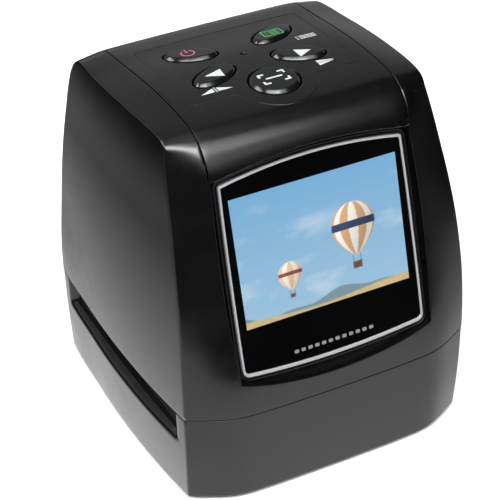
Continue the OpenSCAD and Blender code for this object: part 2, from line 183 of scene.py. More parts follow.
# stations round the centre strip: middle (y, z), knee (x, y, z), corner line (y, z)
ST = [
    # front, from the parting line up
    ((-44.05, 28.15), (30.9, -42.5, 28.15), (-37.03, 28.15)),
    ((-44.06, 32.0), (30.8, -42.6, 32.0), (-37.08, 32.0)),
    ((-44.08, 36.0), (30.6, -42.5, 36.0), (-37.08, 36.0)),
    ((-43.6, 40.0), (30.3, -42.0, 40.0), (-36.98, 40.0)),
    ((-42.2, 46.0), (30.0, -40.65, 46.0), (-36.65, 46.0)),
    ((-40.85, 51.4), (29.8, -39.3, 51.4), (-36.1, 51.4)),
    ((-37.65, 64.0), (29.4, -36.2, 64.0), (-33.9, 64.0)),
    ((-34.55, 76.0), (29.1, -33.25, 76.0), (-30.6, 76.0)),
    ((-31.9, 86.1), (28.6, -30.75, 86.1), (-27.05, 86.1)),
    ((-30.6, 90.6), (28.4, -29.55, 90.6), (-25.3, 90.6)),
    ((-29.5, 93.8), (28.4, -28.5, 93.6), (-24.1, 93.8)),
    ((-27.9, 96.9), (28.4, -26.9, 96.5), (-22.95, 96.9)),
    ((-25.3, 99.6), (28.4, -24.6, 99.15), (-22.3, 99.15)),
    ((-22.2, 101.25), (28.4, -21.8, 100.95), (-20.9, 100.4)),
    ((-18.6, 102.05), (28.4, -18.3, 101.8), (-17.9, 101.0)),
    ((-14.4, 102.45), (28.4, -14.4, 102.2), (-14.3, 101.15)),
    # along the top
    ((-6.2, 102.72), (28.4, -6.2, 102.5), (-6.1, 100.95)),
    ((1.5, 102.7), (28.4, 1.5, 102.4), (1.5, 100.6)),
    ((9.0, 102.4), (28.4, 9.0, 101.95), (8.9, 100.1)),
    ((20.0, 101.35), (28.4, 20.0, 100.9), (19.6, 99.3)),
    ((27.0, 100.65), (28.4, 27.0, 100.3), (26.6, 99.0)),
    ((32.0, 99.75), (28.4, 31.9, 99.5), (31.2, 98.5)),
    # down the back
    ((36.1, 97.6), (28.4, 35.8, 97.45), (35.3, 96.6)),
    ((38.3, 94.4), (28.4, 38.0, 94.3), (37.6, 93.6)),
    ((39.8, 89.5), (28.4, 39.5, 89.4), (39.1, 89.2)),
    ((41.4, 80.0), (28.4, 41.15, 80.0), (40.8, 80.0)),
    ((42.9, 66.0), (28.6, 42.6, 66.0), (42.1, 66.0)),
    ((43.8, 50.0), (29.0, 43.5, 50.0), (43.0, 50.0)),
    ((44.1, 36.0), (29.2, 43.8, 36.0), (43.3, 36.0)),
    ((44.1, 28.15), (29.2, 43.8, 28.15), (43.35, 28.15)),
]
M_ = np.array([[0, a[0], a[1]] for a, b, c in ST])
K_ = np.array([list(b) for a, b, c in ST])
C_ = np.array([[0, c[0], c[1]] for a, b, c in ST])
C_[:, 0] = side_x(C_[:, 1], C_[:, 2])
fM, fK, fC = curve_of(M_, K_), curve_of(K_, K_), curve_of(C_, K_)
SMAX = fM.knots[-1]
KN = fM.knots
I_TOPF = 9          # last station where a row is level
# softness of the knee along the strip, mm
SOFT_S = np.array([KN[0], KN[8], KN[10], KN[13], KN[21], KN[24], KN[-1]])
SOFT_W = np.array([5.0, 4.0, 2.4, 1.2, 1.2, 3.0, 4.0])


def wrap(s, x):
    """Point on the centre strip and corner strips: s along, x across (arrays, mm)."""
    s, x = np.broadcast_arrays(np.asarray(s, float), np.asarray(x, float))
    m, k, c = fM(s), fK(s), fC(s)
    w = np.interp(s, SOFT_S, SOFT_W)
    xk, xc, a = k[..., 0], side_x(c[..., 1], c[..., 2]), np.abs(x)

    def soft(q):
        return (q - xk + np.sqrt((q - xk) ** 2 + w * w)) / 2 - (-xk + np.sqrt(xk**2 + w * w)) / 2

    # a square bow up to the knee that runs on straight, and a ramp past the knee;
    # the two amounts are such that the row meets the knee and the corner line
    bb, hk, hc = 2 * xc / xk - 1, soft(xk), soft(xc)
    km, cm = k[..., 1:] - m[..., 1:], c[..., 1:] - m[..., 1:]
    sl = (cm - bb[..., None] * km) / (hc - bb * hk)[..., None]
    bow = km - sl * hk[..., None]
    q = a / xk
    yz = m[..., 1:] + bow * np.where(q < 1, q * q, 2 * q - 1)[..., None] + sl * soft(a)[..., None]
    return np.concatenate([x[..., None], yz], axis=-1)


def s_at_z(z):
    """Strip parameter of a level on the front, up to the bend."""
    ss = np.linspace(0, KN[I_TOPF + 2], 600)
    zz = fK(ss)[:, 2]
    return np.interp(z, zz, ss)


# screen plane: u across, v up the slope, w out of it
TILT = math.radians(13.93)
O3 = np.array([0, -34.0, 67.87])
VV = np.array([0, math.sin(TILT), math.cos(TILT)])
WW = np.array([0, -math.cos(TILT), math.sin(TILT)])


def scr(u, v, w=0.0):
    u, v, w = np.broadcast_arrays(np.asarray(u, float), np.asarray(v, float), np.asarray(w, float))
    return O3 + u[..., None] * np.array([1.0, 0, 0]) + v[..., None] * VV + w[..., None] * WW


REC = dict(x0=28.0, yt=23.3, yb=-31.1, st=2.9, sb=4.1, ss=1.1)
TRI = dict(x0=26.5, yt=21.85, yb=-30.1, st=2.45, sb=1.45, ss=0.25, tap=0.31)
TRI_IN = dict(TRI, yb=TRI["yb"] + 0.3)


def rec_bottom(x):
    """Height z of the recess's lower edge on the casing at x."""
    r = (REC["x0"] ** 2 + REC["sb"] ** 2) / (2 * REC["sb"])
    v = REC["yb"] - REC["sb"] + r - np.sqrt(r * r - np.clip(np.abs(x), 0, REC["x0"]) ** 2)
    return O3[2] + v * VV[2] + 1.6 * WW[2]


def rec_top(x):
    r = (REC["x0"] ** 2 + REC["st"] ** 2) / (2 * REC["st"])
    v = REC["yt"] + REC["st"] - r + np.sqrt(r * r - np.clip(np.abs(x), 0, REC["x0"]) ** 2)
    return O3[2] + v * VV[2] + 1.6 * WW[2]


def rec_side(z):
    """Half width of the recess at height z on the casing."""
    v = (z - O3[2] - 1.6 * WW[2]) / VV[2]
    hh = (REC["yt"] - REC["yb"]) / 2
    cy = (REC["yt"] + REC["yb"]) / 2
    r = (hh * hh + REC["ss"] ** 2) / (2 * REC["ss"])
    q = np.clip(v - cy, -hh, hh)
    return REC["x0"] + REC["ss"] - r + np.sqrt(r * r - q * q)


# ---------------------------------------------------------------- meshes of the casing


def wall_in(o, thick):
    """Closes an outward-facing sheet into a wall: an inner copy, offset along the vertex normals, and rims."""
    bm = bmesh.new()
    bm.from_mesh(o.data)
    bm.normal_update()
    mid = Vector((0.0, 0.0, 0.05))
    if sum(f.normal.dot(f.calc_center_median() - mid) * f.calc_area() for f in bm.faces) < 0:
        bmesh.ops.reverse_faces(bm, faces=bm.faces)
        bm.normal_update()
    verts, faces = list(bm.verts), list(bm.faces)
    lay = bm.edges.layers.float.get("bevel_weight_edge") or bm.edges.layers.float.new("bevel_weight_edge")
    edges = [e for e in bm.edges if len(e.link_faces) == 1]
    rim = []
    for e in edges:
        f = e.link_faces[0]
        loop = next(l for l in f.loops if l.edge == e)
        rim.append((e, loop.vert, loop.link_loop_next.vert))
    twin = {}
    for v in verts:
        k = min(max(v.calc_shell_factor(), 1.0), 1.45)
        twin[v] = bm.verts.new(v.co - v.normal * thick * MM * k)
    for f in faces:
        g = bm.faces.new([twin[v] for v in reversed(f.verts)])
        g.smooth = True
        g.material_index = f.material_index
    for e, a, b in rim:
        g = bm.faces.new([b, a, twin[a], twin[b]])
        g.smooth = True
        e[lay] = 1.0
    bm.to_mesh(o.data)
    bm.free()


def finish_shell(o, thick=1.6, rim=0.2, seg=2, sharp=38):
    """Wall inwards, then only its outer rims rounded, with crisp normals."""
    wall_in(o, thick)
    m = bevel(o, rim, seg, weight=True)
    m.use_clamp_overlap = False
    m.harden_normals = True
    apply_mods(o)
    o.data.shade_smooth()
    o.data.set_sharp_from_angle(angle=math.radians(sharp))
    wn = o.modifiers.new("normals", "WEIGHTED_NORMAL")
    wn.keep_sharp = True
    wn.weight = 60
    apply_mods(o)
    return o


def front_s(z):
    return s_at_z(z)


def back_s(z):
    ss = np.linspace(KN[22], KN[-1], 800)
    zz = fK(ss)[:, 2]
    return np.interp(-np.asarray(z, float), -zz, ss)


GAP = 0.13                    # half of a visible seam, mm
PART = 28.2                   # lower edge of the upper shell
ZC = float(rec_bottom(REC["x0"]))
ZT = float(rec_top(REC["x0"]))
REAR_Z = 41.9

S0 = float(front_s(PART))
rows_b = front_s(np.linspace(PART, ZC, 9))
rows_c = front_s(np.linspace(ZC, ZT, 36))
rows_d = np.linspace(float(front_s(ZT)), KN[12], 15)
NF = len(rows_b) + len(rows_c) + len(rows_d) - 3
rows_t = np.linspace(KN[12], KN[22], 44)
NB1 = 9
rows_e = back_s(np.linspace(96.8, REAR_Z, NF - NB1 + 1))
rows_e[0] = KN[22]
rows_e = np.r_[np.linspace(KN[22], float(back_s(93.0)), 11)[:-1],
               back_s(np.linspace(93.0, REAR_Z, NF - NB1 - 9))]
rows_g = back_s(np.linspace(REAR_Z, PART, NB1 + 1))
assert len(rows_e) - 1 + NB1 == NF, (len(rows_e), NB1, NF)

FIL = 0.55                    # setback of the rounded corner line, mm
NCS = 12


def inner_x(s):
    """Inner edge of a corner strip at row s (array)."""
    s = np.asarray(s, float)
    z = fK(s)[:, 2]
    x = np.full(len(s), 28.4 + GAP)
    lo = s < KN[11]
    zz = z[lo]
    rx = rec_side(zz)
    t = np.clip((zz - (ZT - 1.2)) / 2.2, 0, 1)
    t = t * t * (3 - 2 * t)
    x[lo] = rx * (1 - t) + (28.4 + GAP) * t
    return x


def corner_yz(s):
    c = fC(s)
    return c[..., 1], c[..., 2]


def strip_grid(s, x_in):
    """Strip from its inner edge to the start of the corner's rounding."""
    s = np.asarray(s, float)
    cy, cz = corner_yz(s)
    xc = side_x(cy, cz)
    t = np.linspace(0, 1, NCS)[None, :]
    x = x_in[:, None] * (1 - t) + (xc - FIL)[:, None] * t
    return wrap(s[:, None] + 0 * x, x)


def fillet_grid(s, centre=(2.0, 55.0)):
    """Rounding between strip and side: 5 columns, the last lies on the side."""
    s = np.asarray(s, float)
    cy, cz = corner_yz(s)
    xc = side_x(cy, cz)
    p = np.stack([xc, cy, cz], -1)
    a = wrap(s, xc - FIL)
    ds = 1e-3
    cy2, cz2 = corner_yz(np.clip(s + ds, 0, SMAX))
    cy1, cz1 = corner_yz(np.clip(s - ds, 0, SMAX))
    d = np.stack([cy2 - cy1, cz2 - cz1], -1)
    d /= np.linalg.norm(d, axis=-1, keepdims=True)
    n = np.stack([d[:, 1], -d[:, 0]], -1)        # turned right: inwards on a clockwise loop
    q = np.stack([cy, cz], -1)
    mid = np.array(centre) - q
    n *= np.sign((n * mid).sum(-1, keepdims=True))
    b2 = q + n * FIL
    b = np.stack([side_x(b2[:, 0], b2[:, 1]), b2[:, 0], b2[:, 1]], -1)
    t = np.linspace(0, 1, 5)[None, :, None]
    return (1 - t) ** 2 * a[:, None] + 2 * t * (1 - t) * p[:, None] + t * t * b[:, None]


def coons(bottom, top, left, right):
    """Patch in (y, z): bottom/top run along u, left/right along v, corners shared."""
    nu, nv = len(bottom), len(left)
    u = np.linspace(0, 1, nu)[None, :, None]
    v = np.linspace(0, 1, nv)[:, None, None]
    b, t, l, r = bottom[None], top[None], left[:, None], right[:, None]
    c = ((1 - u) * (1 - v) * bottom[0] + u * (1 - v) * bottom[-1]
         + (1 - u) * v * top[0] + u * v * top[-1])
    return (1 - v) * b + v * t + (1 - u) * l + u * r - c


def make_main_shell():
    B = Build()
    front = np.r_[rows_b, rows_c[1:], rows_d[1:]]
    back = np.r_[rows_e, rows_g[1:]]
    allr = np.r_[front, rows_t[1:], back[1:]]
    xin = inner_x(allr)
    # chin columns end on the same line as the strips begin
    g = strip_grid(allr, xin)
    f = fillet_grid(allr)
    g[:, -1] = f[:, 0]
    B.grid(g)
    B.grid(f)
    # chin under the recess
    nx = 26
    xs = np.linspace(0, 1, nx)
    nb = len(rows_b)
    chin = np.zeros((nb, nx, 3))
    x_edge = xin[:nb]
    for i in range(nb):
        x = xs * x_edge[i]
        zb = rec_bottom(np.minimum(x, REC["x0"]))
        z = PART + (zb - PART) * (i / (nb - 1))
        if True:
            # meet the strip's row exactly at the edge
            zrow = fK(allr[i : i + 1])[0, 2]
            z = z + (zrow - z[-1]) * xs**6
        chin[i] = wrap(s_at_z(z), x)
    chin[:, -1] = g[:nb, 0]
    B.grid(chin)
    # plain back wall under the rear panel
    ng = len(rows_g)
    gi = len(allr) - ng
    bk = np.zeros((ng, nx, 3))
    for i in range(ng):
        bk[i] = wrap(np.full(nx, allr[gi + i]), xs * xin[gi + i])
    # the panel's lower edge needs its own gap
    bk[:, -1] = g[gi:, 0]
    B.grid(bk)
    # side: four-sided patch inside the corner rounding
    e = f[:, -1]
    fr, tp, bc = e[: NF + 1], e[NF : NF + len(rows_t)], e[NF + len(rows_t) - 1 :]
    bc = bc[::-1]
    nt = len(rows_t)
    t = np.linspace(0, 1, nt)[:, None]
    y0, y1 = fr[0, 1], bc[0, 1]
    bot = np.concatenate([y0 + (y1 - y0) * t, PART + 0 * t], 1)
    bot[0], bot[-1] = fr[0, 1:], bc[0, 1:]
    p = coons(bot, tp[:, 1:], fr[:, 1:], bc[:, 1:])
    side = np.concatenate([side_x(p[..., 0], p[..., 1])[..., None], p], -1)
    side[:, 0], side[:, -1], side[-1] = fr, bc, tp
    B.grid(side)
    B.mirror()
    o = B.obj("main_shell_body", mats=[MAT["casing"]], recalc=True)
    return finish_shell(o, 1.5, 0.16)


def make_base():
    B = Build()
    ztop, zbot, zr = 27.85, 1.2, 1.5
    # walls: front and back stations of their own
    fr_m = curve_of([[0, -42.2, 0.0], [0, -43.25, 14.7], [0, -43.9, 28.0]])
    fr_k = curve_of([[30.0, -40.9, 0.0], [30.5, -41.8, 14.7], [30.9, -42.35, 28.0]])
    fr_c = curve_of([[0, -35.2, 0.0], [0, -36.5, 14.7], [0, -36.95, 28.0]])
    bk_m = curve_of([[0, 43.3, 0.0], [0, 43.8, 14.7], [0, 43.95, 28.0]])
    bk_k = curve_of([[29.0, 43.0, 0.0], [29.2, 43.5, 14.7], [29.2, 43.65, 28.0]])
    bk_c = curve_of([[0, 42.5, 0.0], [0, 43.05, 14.7], [0, 43.2, 28.0]])
    inset = 0.08

    def line(fc, z):
        zz = np.linspace(0, fc.knots[-1], 200)
        v = fc(zz)
        return np.stack([np.interp(z, v[:, 2], v[:, k]) for k in range(3)], -1)

    def section(fm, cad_, fc, z, x):
        z, x = np.broadcast_arrays(np.asarray(z, float), np.asarray(x, float))
        m, k, c = line(fm, z), line(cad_, z), line(fc, z)
        xc = side_x(c[..., 1], z) - inset
        xk = k[..., 0]
        w = 4.5

        def h(a):
            return (a - xk + np.sqrt((a - xk) ** 2 + w * w)) / 2 - (-xk + np.sqrt(xk**2 + w * w)) / 2

        bb = 2 * xc / xk - 1
        sl = ((c[..., 1] - m[..., 1]) - bb * (k[..., 1] - m[..., 1])) / (h(xc) - bb * h(xk))
        bow = (k[..., 1] - m[..., 1]) - sl * h(xk)
        a = np.abs(x)
        q = a / xk
        y = m[..., 1] + bow * np.where(q < 1, q * q, 2 * q - 1) + sl * h(a)
        return np.stack([x, y, z], -1)

    def sx(y, z):
        return side_x(y, z) - inset

    # levels: bottom edge rounding is added after
    zl = np.r_[np.linspace(zr, 19.05, 12), np.linspace(19.05, ztop, 7)[1:]]
    nz = len(zl)
    cols = []           # loop of one half, from the front middle to the back middle
    nx = 34
    yf = line(fr_c, zl)[:, 1]
    yb = line(bk_c, zl)[:, 1]
    xf, xb = sx(yf, zl), sx(yb, zl)
    t = np.linspace(0, 1, nx)
    wf = section(fr_m, fr_k, fr_c, zl[:, None], t[None] * (xf - FIL)[:, None])
    wb = section(bk_m, bk_k, bk_c, zl[:, None], t[None] * (xb - FIL)[:, None])
    tt = np.linspace(0, 1, 5)[None, :, None]

    def corner(a, y, sgn):
        p = np.stack([sx(y, zl), y, zl], -1)
        b = np.stack([sx(y + sgn * FIL, zl), y + sgn * FIL, zl], -1)
        return (1 - tt) ** 2 * a[:, None] + 2 * tt * (1 - tt) * p[:, None] + tt * tt * b[:, None]

    cf = corner(wf[:, -1], yf, 1)
    cb = corner(wb[:, -1], yb, -1)
    sy0, sy1 = -32.8, 38.1
    ya = cf[:, -1, 1]
    yz_ = cb[:, -1, 1]
    t3 = np.linspace(0, 1, 5)
    sa = np.stack([[np.array([sx(y, z), y, z]) for y in ya_ + (sy0 - ya_) * t3] for ya_, z in zip(ya, zl)])
    tm = np.linspace(0, 1, 44)
    sm = np.stack([[np.array([sx(y, z), y, z]) for y in sy0 + (sy1 - sy0) * tm] for z in zl])
    sb = np.stack([[np.array([sx(y, z), y, z]) for y in sy1 + (yb_ - sy1) * t3] for yb_, z in zip(yz_, zl)])
    k19 = 11
    B.grid(wf)
    B.grid(cf)
    B.grid(sa)
    B.grid(sm[: k19 + 1])
    B.grid(sb)
    B.grid(cb[:, ::-1])
    B.grid(wb[:, ::-1])
    # mouth of the tunnel: slanted lower lip and ends
    rim = sm[k19]
    inn = rim.copy()
    inn[:, 0] = 40.1
    inn[:, 1] = -30.9 + (36.2 + 30.9) * (rim[:, 1] - sy0) / (sy1 - sy0)
    inn[:, 2] = 21.1
    k = np.array([0, 0.3, 0.58, 0.6, 0.8, 1.0])[:, None, None]
    B.grid((1 - k) * rim[None] + k * inn[None])
    for yy, ii, cc in ((0, 0, sa[k19:, -1]), (1, -1, sb[k19:, 0])):
        a = cc
        b = a.copy()
        b[:, 0] = 40.1
        b[:, 1] = -30.9 if yy == 0 else 36.2
        b[:, 2] = 21.1 + (27.4 - 21.1) * (a[:, 2] - 19.05) / (ztop - 19.05)
        B.grid((1 - k) * a[None] + k * b[None])
    # bottom edge rounding and floor
    loop = np.concatenate([wf[0], cf[0, 1:], sa[0, 1:], sm[0, 1:], sb[0, 1:], cb[0, ::-1][1:], wb[0, ::-1][1:]])
    nrm = np.zeros_like(loop)
    d = np.gradient(loop, axis=0)
    nrm[:, 0], nrm[:, 1] = -d[:, 1], d[:, 0]
    nrm /= np.linalg.norm(nrm, axis=1, keepdims=True) + 1e-12
    mid = np.array([0, 0.5, zr]) - loop
    nrm *= np.sign((nrm * mid).sum(1, keepdims=True))
    nrm[0] = (0, 1, 0)
    nrm[-1] = (0, -1, 0)
    ed = []
    for a in np.linspace(0, math.pi / 2, 4):
        r = zr - zbot
        q = loop + nrm * r * (1 - math.cos(a))
        q[:, 2] = zr - r * math.sin(a)
        ed.append(q)
    ed = np.array(ed)
    ed[:, 0, 0] = 0
    ed[:, -1, 0] = 0
    B.grid(ed)
    B.mirror()
    # floor with seats for the feet and wells for the screws
    out = ed[-1]
    outline = np.concatenate([out, (out * [-1, 1, 1])[::-1][1:-1]])
    holes = [(x, y, 4.15, "seat") for x in (-31, 31) for y in (-27, 34)]
    holes += [(x, y, 1.95, "well") for x, y in ((-24, -37.2), (24, -37.2), (-24, 38.7), (24, 38.7))]
    v2 = [tuple(p[:2]) for p in outline]
    ed2 = [(i, (i + 1) % len(outline)) for i in range(len(outline))]
    rings = []
    for x, y, r, kind in holes:
        n = 40 if kind == "seat" else 24
        off = len(v2)
        ring = [(x + r * math.cos(a), y + r * math.sin(a)) for a in np.linspace(0, 2 * math.pi, n, endpoint=False)]
        v2 += ring
        ed2 += [(off + i, off + (i + 1) % n) for i in range(n)]
        rings.append((ring, kind))
    for x in np.arange(-39, 40, 4.0):
        for y in np.arange(-38, 42, 4.0):
            if all(math.hypot(x - hx, y - hy) > hr + 1.2 for hx, hy, hr, _ in holes) and inside(outline[:, :2], x, y, 1.5):
                v2.append((x, y))
    pv, pf = triangulate(v2, ed2, outline[:, :2], [r for r, _ in rings])
    B.faces([(p[0], p[1], zbot) for p in pv], pf)
    for ring, kind in rings:
        n = len(ring)
        z1 = zbot + 0.5 if kind == "seat" else zbot + 1.5
        va = [(p[0], p[1], zbot) for p in ring] + [(p[0], p[1], z1) for p in ring]
        fa = [[i, (i + 1) % n, n + (i + 1) % n, n + i] for i in range(n)]
        if kind == "seat":
            cx, cy = np.mean(ring, 0)
            va.append((cx, cy, z1))
            fa += [[n + i, n + (i + 1) % n, 2 * n] for i in range(n)]
        B.faces(va, fa)
    o = B.obj("base_shell_body", mats=[MAT["casing"]], recalc=True)
    finish_shell(o, 1.5, 0.16)
    # painted shade: the deeper faces of the tunnel mouth get a second, matte near-black material that stands in for the
    # shadow inside the tunnel
    o.data.materials.append(MAT["flock"])
    for p in o.data.polygons:
        c = p.center / MM
        rx = float(side_x(c.y, 19.0)) - inset
        if 39.0 < abs(c.x) < rx - 0.57 * (rx - 40.1) and 19.2 < c.z < 27.7 and -32.8 < c.y < 38.1 and abs(p.normal.z) > 0.2:
            p.material_index = 1
    # tubes of the screw wells
    t = Build()
    for x, y in ((-24, -37.2), (24, -37.2), (-24, 38.7), (24, 38.7)):
        prof = [(1.95, 2.8), (1.95, 17.0), (1.35, 17.2), (1.35, 27.6), (2.6, 27.6), (2.6, 2.8)]
        ring = []
        for a in np.linspace(0, 2 * math.pi, 33):
            ring.append([[x + r * math.cos(a), y + r * math.sin(a), z] for r, z in prof + prof[:1]])
        t.grid(np.array(ring), flip=True)
    to = t.obj("screw_wells", mats=[MAT["casing"]], recalc=True)
    return join([o, to], "base_shell_body")


def inside(poly, x, y, margin=0.0):
    p = np.asarray(poly, float)
    q = np.roll(p, -1, 0)
    c = ((p[:, 1] > y) != (q[:, 1] > y)) & (x < (q[:, 0] - p[:, 0]) * (y - p[:, 1]) / (q[:, 1] - p[:, 1] + 1e-30) + p[:, 0])
    if c.sum() % 2 == 0:
        return False
    if margin:
        d = q - p
        t = np.clip(((x - p[:, 0]) * d[:, 0] + (y - p[:, 1]) * d[:, 1]) / ((d**2).sum(1) + 1e-12), 0, 1)
        return np.hypot(p[:, 0] + t * d[:, 0] - x, p[:, 1] + t * d[:, 1] - y).min() > margin
    return True


def triangulate(v2, e2, outline, holes, ids=False):
    """Constrained triangulation of the region inside outline and outside holes."""
    from mathutils.geometry import delaunay_2d_cdt
    r = delaunay_2d_cdt([Vector(p) for p in v2], e2, [], 0, 1e-5)
    vs, fs, org = [tuple(p) for p in r[0]], r[2], r[3]
    for i, o in enumerate(org):
        if o:
            vs[i] = tuple(v2[o[0]])
    keep = []
    for f in fs:
        cx = sum(vs[i][0] for i in f) / len(f)
        cy = sum(vs[i][1] for i in f) / len(f)
        if inside(outline, cx, cy) and not any(inside(h, cx, cy) for h in holes):
            keep.append(list(f))
    if ids:
        return vs, keep, [o[0] if o else -1 for o in org]
    return vs, keep


def join(objs, name):
    dst = objs[0]
    with bpy.context.temp_override(active_object=dst, selected_editable_objects=objs, selected_objects=objs):
        bpy.ops.object.join()
    dst.name = name
    return dst


KEYS = [(-11.9, 13.8, -27.0), (11.9, 13.8, 27.0), (-12.1, -0.6, 24.5), (12.1, -0.6, -24.5), (0.0, -10.3, 0.0)]
KEY_NAMES = ["power", "menu", "left", "right", "scan"]


def key_outline(k, g=0.0, n=56):
    x, y, t = KEYS[k]
    a = np.linspace(0, 2 * math.pi, n, endpoint=False)
    if k == 4:
        ex, ey = (7.0 + g) * np.cos(a), (7.0 + g) * np.sin(a)
    else:
        ex, ey = (7.5 + g) * np.cos(a), (4.2 + g) * np.sin(a)
    c, s = math.cos(math.radians(t)), math.sin(math.radians(t))
    return np.stack([x + ex * c - ey * s, y + ex * s + ey * c], -1)


S_GRID = np.linspace(KN[11], KN[22], 700)


def top_z(x, y):
    """Height of the top cover over (x, y), where it is a roof."""
    x, y = np.broadcast_arrays(np.asarray(x, float), np.asarray(y, float))
    xf, yf = x.ravel(), y.ravel()
    out = np.zeros(len(xf))
    order = {}
    for i, v in enumerate(np.round(xf, 3)):
        order.setdefault(v, []).append(i)
    for v, idx in order.items():
        w = wrap(S_GRID, np.full(len(S_GRID), v))
        out[idx] = np.interp(yf[idx], w[:, 1], w[:, 2])
    return out.reshape(x.shape)


def panel_outline():
    """Outline of the key panel: a rectangle whose front edge runs into a circle round the scan key."""
    x1, yb, yf, R, cy = 23.8, 24.1, -11.7, 11.1, -10.3
    r = 1.4
    pts = []

    def arc(cx, cy_, r_, a0, a1, n):
        for a in np.radians(np.linspace(a0, a1, n)):
            pts.append((cx + r_ * math.cos(a), cy_ + r_ * math.sin(a)))

    arc(x1 - r, yb - r, r, 0, 90, 7)
    for x in np.linspace(x1 - r, -x1 + r, 56)[1:-1]:
        pts.append((x, yb))
    arc(-x1 + r, yb - r, r, 90, 180, 7)
    for y in np.linspace(yb - r, yf + r, 44)[1:-1]:
        pts.append((-x1, y))
    arc(-x1 + r, yf + r, r, 180, 270, 7)
    # blend of radius b between the front edge and the circle
    b = 2.0
    dx = math.sqrt((R + b) ** 2 - (cy - (yf - b)) ** 2)
    for x in np.linspace(-x1 + r, -dx, 14)[1:-1]:
        pts.append((x, yf))
    ang = math.degrees(math.atan2(yf - b - cy, -dx))
    arc(-dx, yf - b, b, 90, ang + 180 - 360 if ang + 180 > 180 else ang + 180, 6)
    a0 = ang % 360
    arc(0, cy, R, a0, 540 - a0, 44)
    arc(dx, yf - b, b, 180 - (ang + 180 - 360 if ang + 180 > 180 else ang + 180), 90, 6)
    for x in np.linspace(dx, x1 - r, 14)[1:-1]:
        pts.append((x, yf))
    arc(x1 - r, yf + r, r, 270, 360, 7)
    for y in np.linspace(yf + r, yb - r, 44)[1:-1]:
        pts.append((x1, y))
    p = np.array(pts)
    keep = np.linalg.norm(p - np.roll(p, 1, 0), axis=1) > 0.02
    return p[keep]


def offset_loop(p, d):
    t = np.roll(p, -1, 0) - np.roll(p, 1, 0)
    t /= np.linalg.norm(t, axis=1, keepdims=True)
    return p + np.stack([t[:, 1], -t[:, 0]], -1) * d


def make_cover():
    B = Build()
    w = 28.4 - GAP
    nx = 48
    xs = np.linspace(-w, w, nx)
    # lip and front bend
    sj = KN[12] * 0.55 + KN[13] * 0.45
    s_lip = s_at_z(rec_top(xs) + 0.05)
    nr = 26
    t = np.linspace(0, 1, nr)[:, None]
    s = s_lip[None] * (1 - t) + sj * t
    g1 = wrap(s, xs[None] + 0 * s)
    B.grid(g1)
    # back end of the roof
    sb0, sb1 = KN[20], float(back_s(94.75))
    s = np.linspace(sb0, sb1, 16)[:, None] + 0 * xs[None]
    g3 = wrap(s, xs[None] + 0 * s)
    B.grid(g3)
    # roof with the holes
    se = np.linspace(sj, sb0, 34)
    left = wrap(se, np.full(len(se), -w))
    right = wrap(se, np.full(len(se), w))
    ring3 = np.concatenate([g1[-1], right[1:-1], g3[0][::-1], left[::-1][1:-1]])
    v2 = [tuple(p[:2]) for p in ring3]
    nb = len(v2)
    e2 = [(i, (i + 1) % nb) for i in range(nb)]
    holes = []
    avoid = []
    for k in range(5):
        for g in (0.0, 0.45, 1.0):
            o = key_outline(k, g)
            off = len(v2)
            v2 += [tuple(p) for p in o]
            e2 += [(off + i, off + (i + 1) % len(o)) for i in range(len(o))]
            if g == 0:
                holes.append(o)
            if g == 1.0:
                avoid.append(o)
    led = [(0.95 * math.cos(a), 6.5 + 0.95 * math.sin(a)) for a in np.linspace(0, 2 * math.pi, 24, endpoint=False)]
    led2 = [(1.4 * math.cos(a), 6.5 + 1.4 * math.sin(a)) for a in np.linspace(0, 2 * math.pi, 24, endpoint=False)]
    for o in (led, led2):
        off = len(v2)
        v2 += o
        e2 += [(off + i, off + (i + 1) % 24) for i in range(24)]
    holes.append(led)
    avoid.append(led2)
    pan = panel_outline()
    drop = {}
    for d, dz in ((-0.26, 0.0), (-0.13, 0.0), (-0.07, 0.05), (0.0, 0.13), (0.07, 0.05), (0.13, 0.0), (0.26, 0.0)):
        o = offset_loop(pan, d)
        off = len(v2)
        v2 += [tuple(p) for p in o]
        e2 += [(off + i, off + (i + 1) % len(o)) for i in range(len(o))]
        for i in range(len(o)):
            drop[off + i] = dz
    pan_d = pan
    for x in np.arange(-27.2, 27.3, 1.36):
        for y in np.arange(-23.4, 27.5, 1.4):
            if not inside(ring3[:, :2], x, y, 0.6):
                continue
            if any(inside(o, x, y) for o in avoid):
                continue
            if min(np.hypot(pan_d[:, 0] - x, pan_d[:, 1] - y)) < 0.75:
                continue
            if min(min(np.hypot(o[:, 0] - x, o[:, 1] - y)) for o in map(np.array, avoid)) < 0.5:
                continue
            v2.append((float(x), float(y)))
    pv, pf, ids = triangulate(v2, e2, ring3[:, :2], holes, ids=True)
    z = top_z([p[0] for p in pv], [p[1] for p in pv])
    vv = []
    for (x, y), h, i in zip(pv, z, ids):
        h = ring3[i, 2] if 0 <= i < nb else h - drop.get(i, 0.0)
        vv.append((x, y, h))
    B.faces(vv, pf)
    o = B.obj("top_cover_body", mats=[MAT["cover"]], recalc=True)
    finish_shell(o, 1.4, 0.13, sharp=50)
    return o


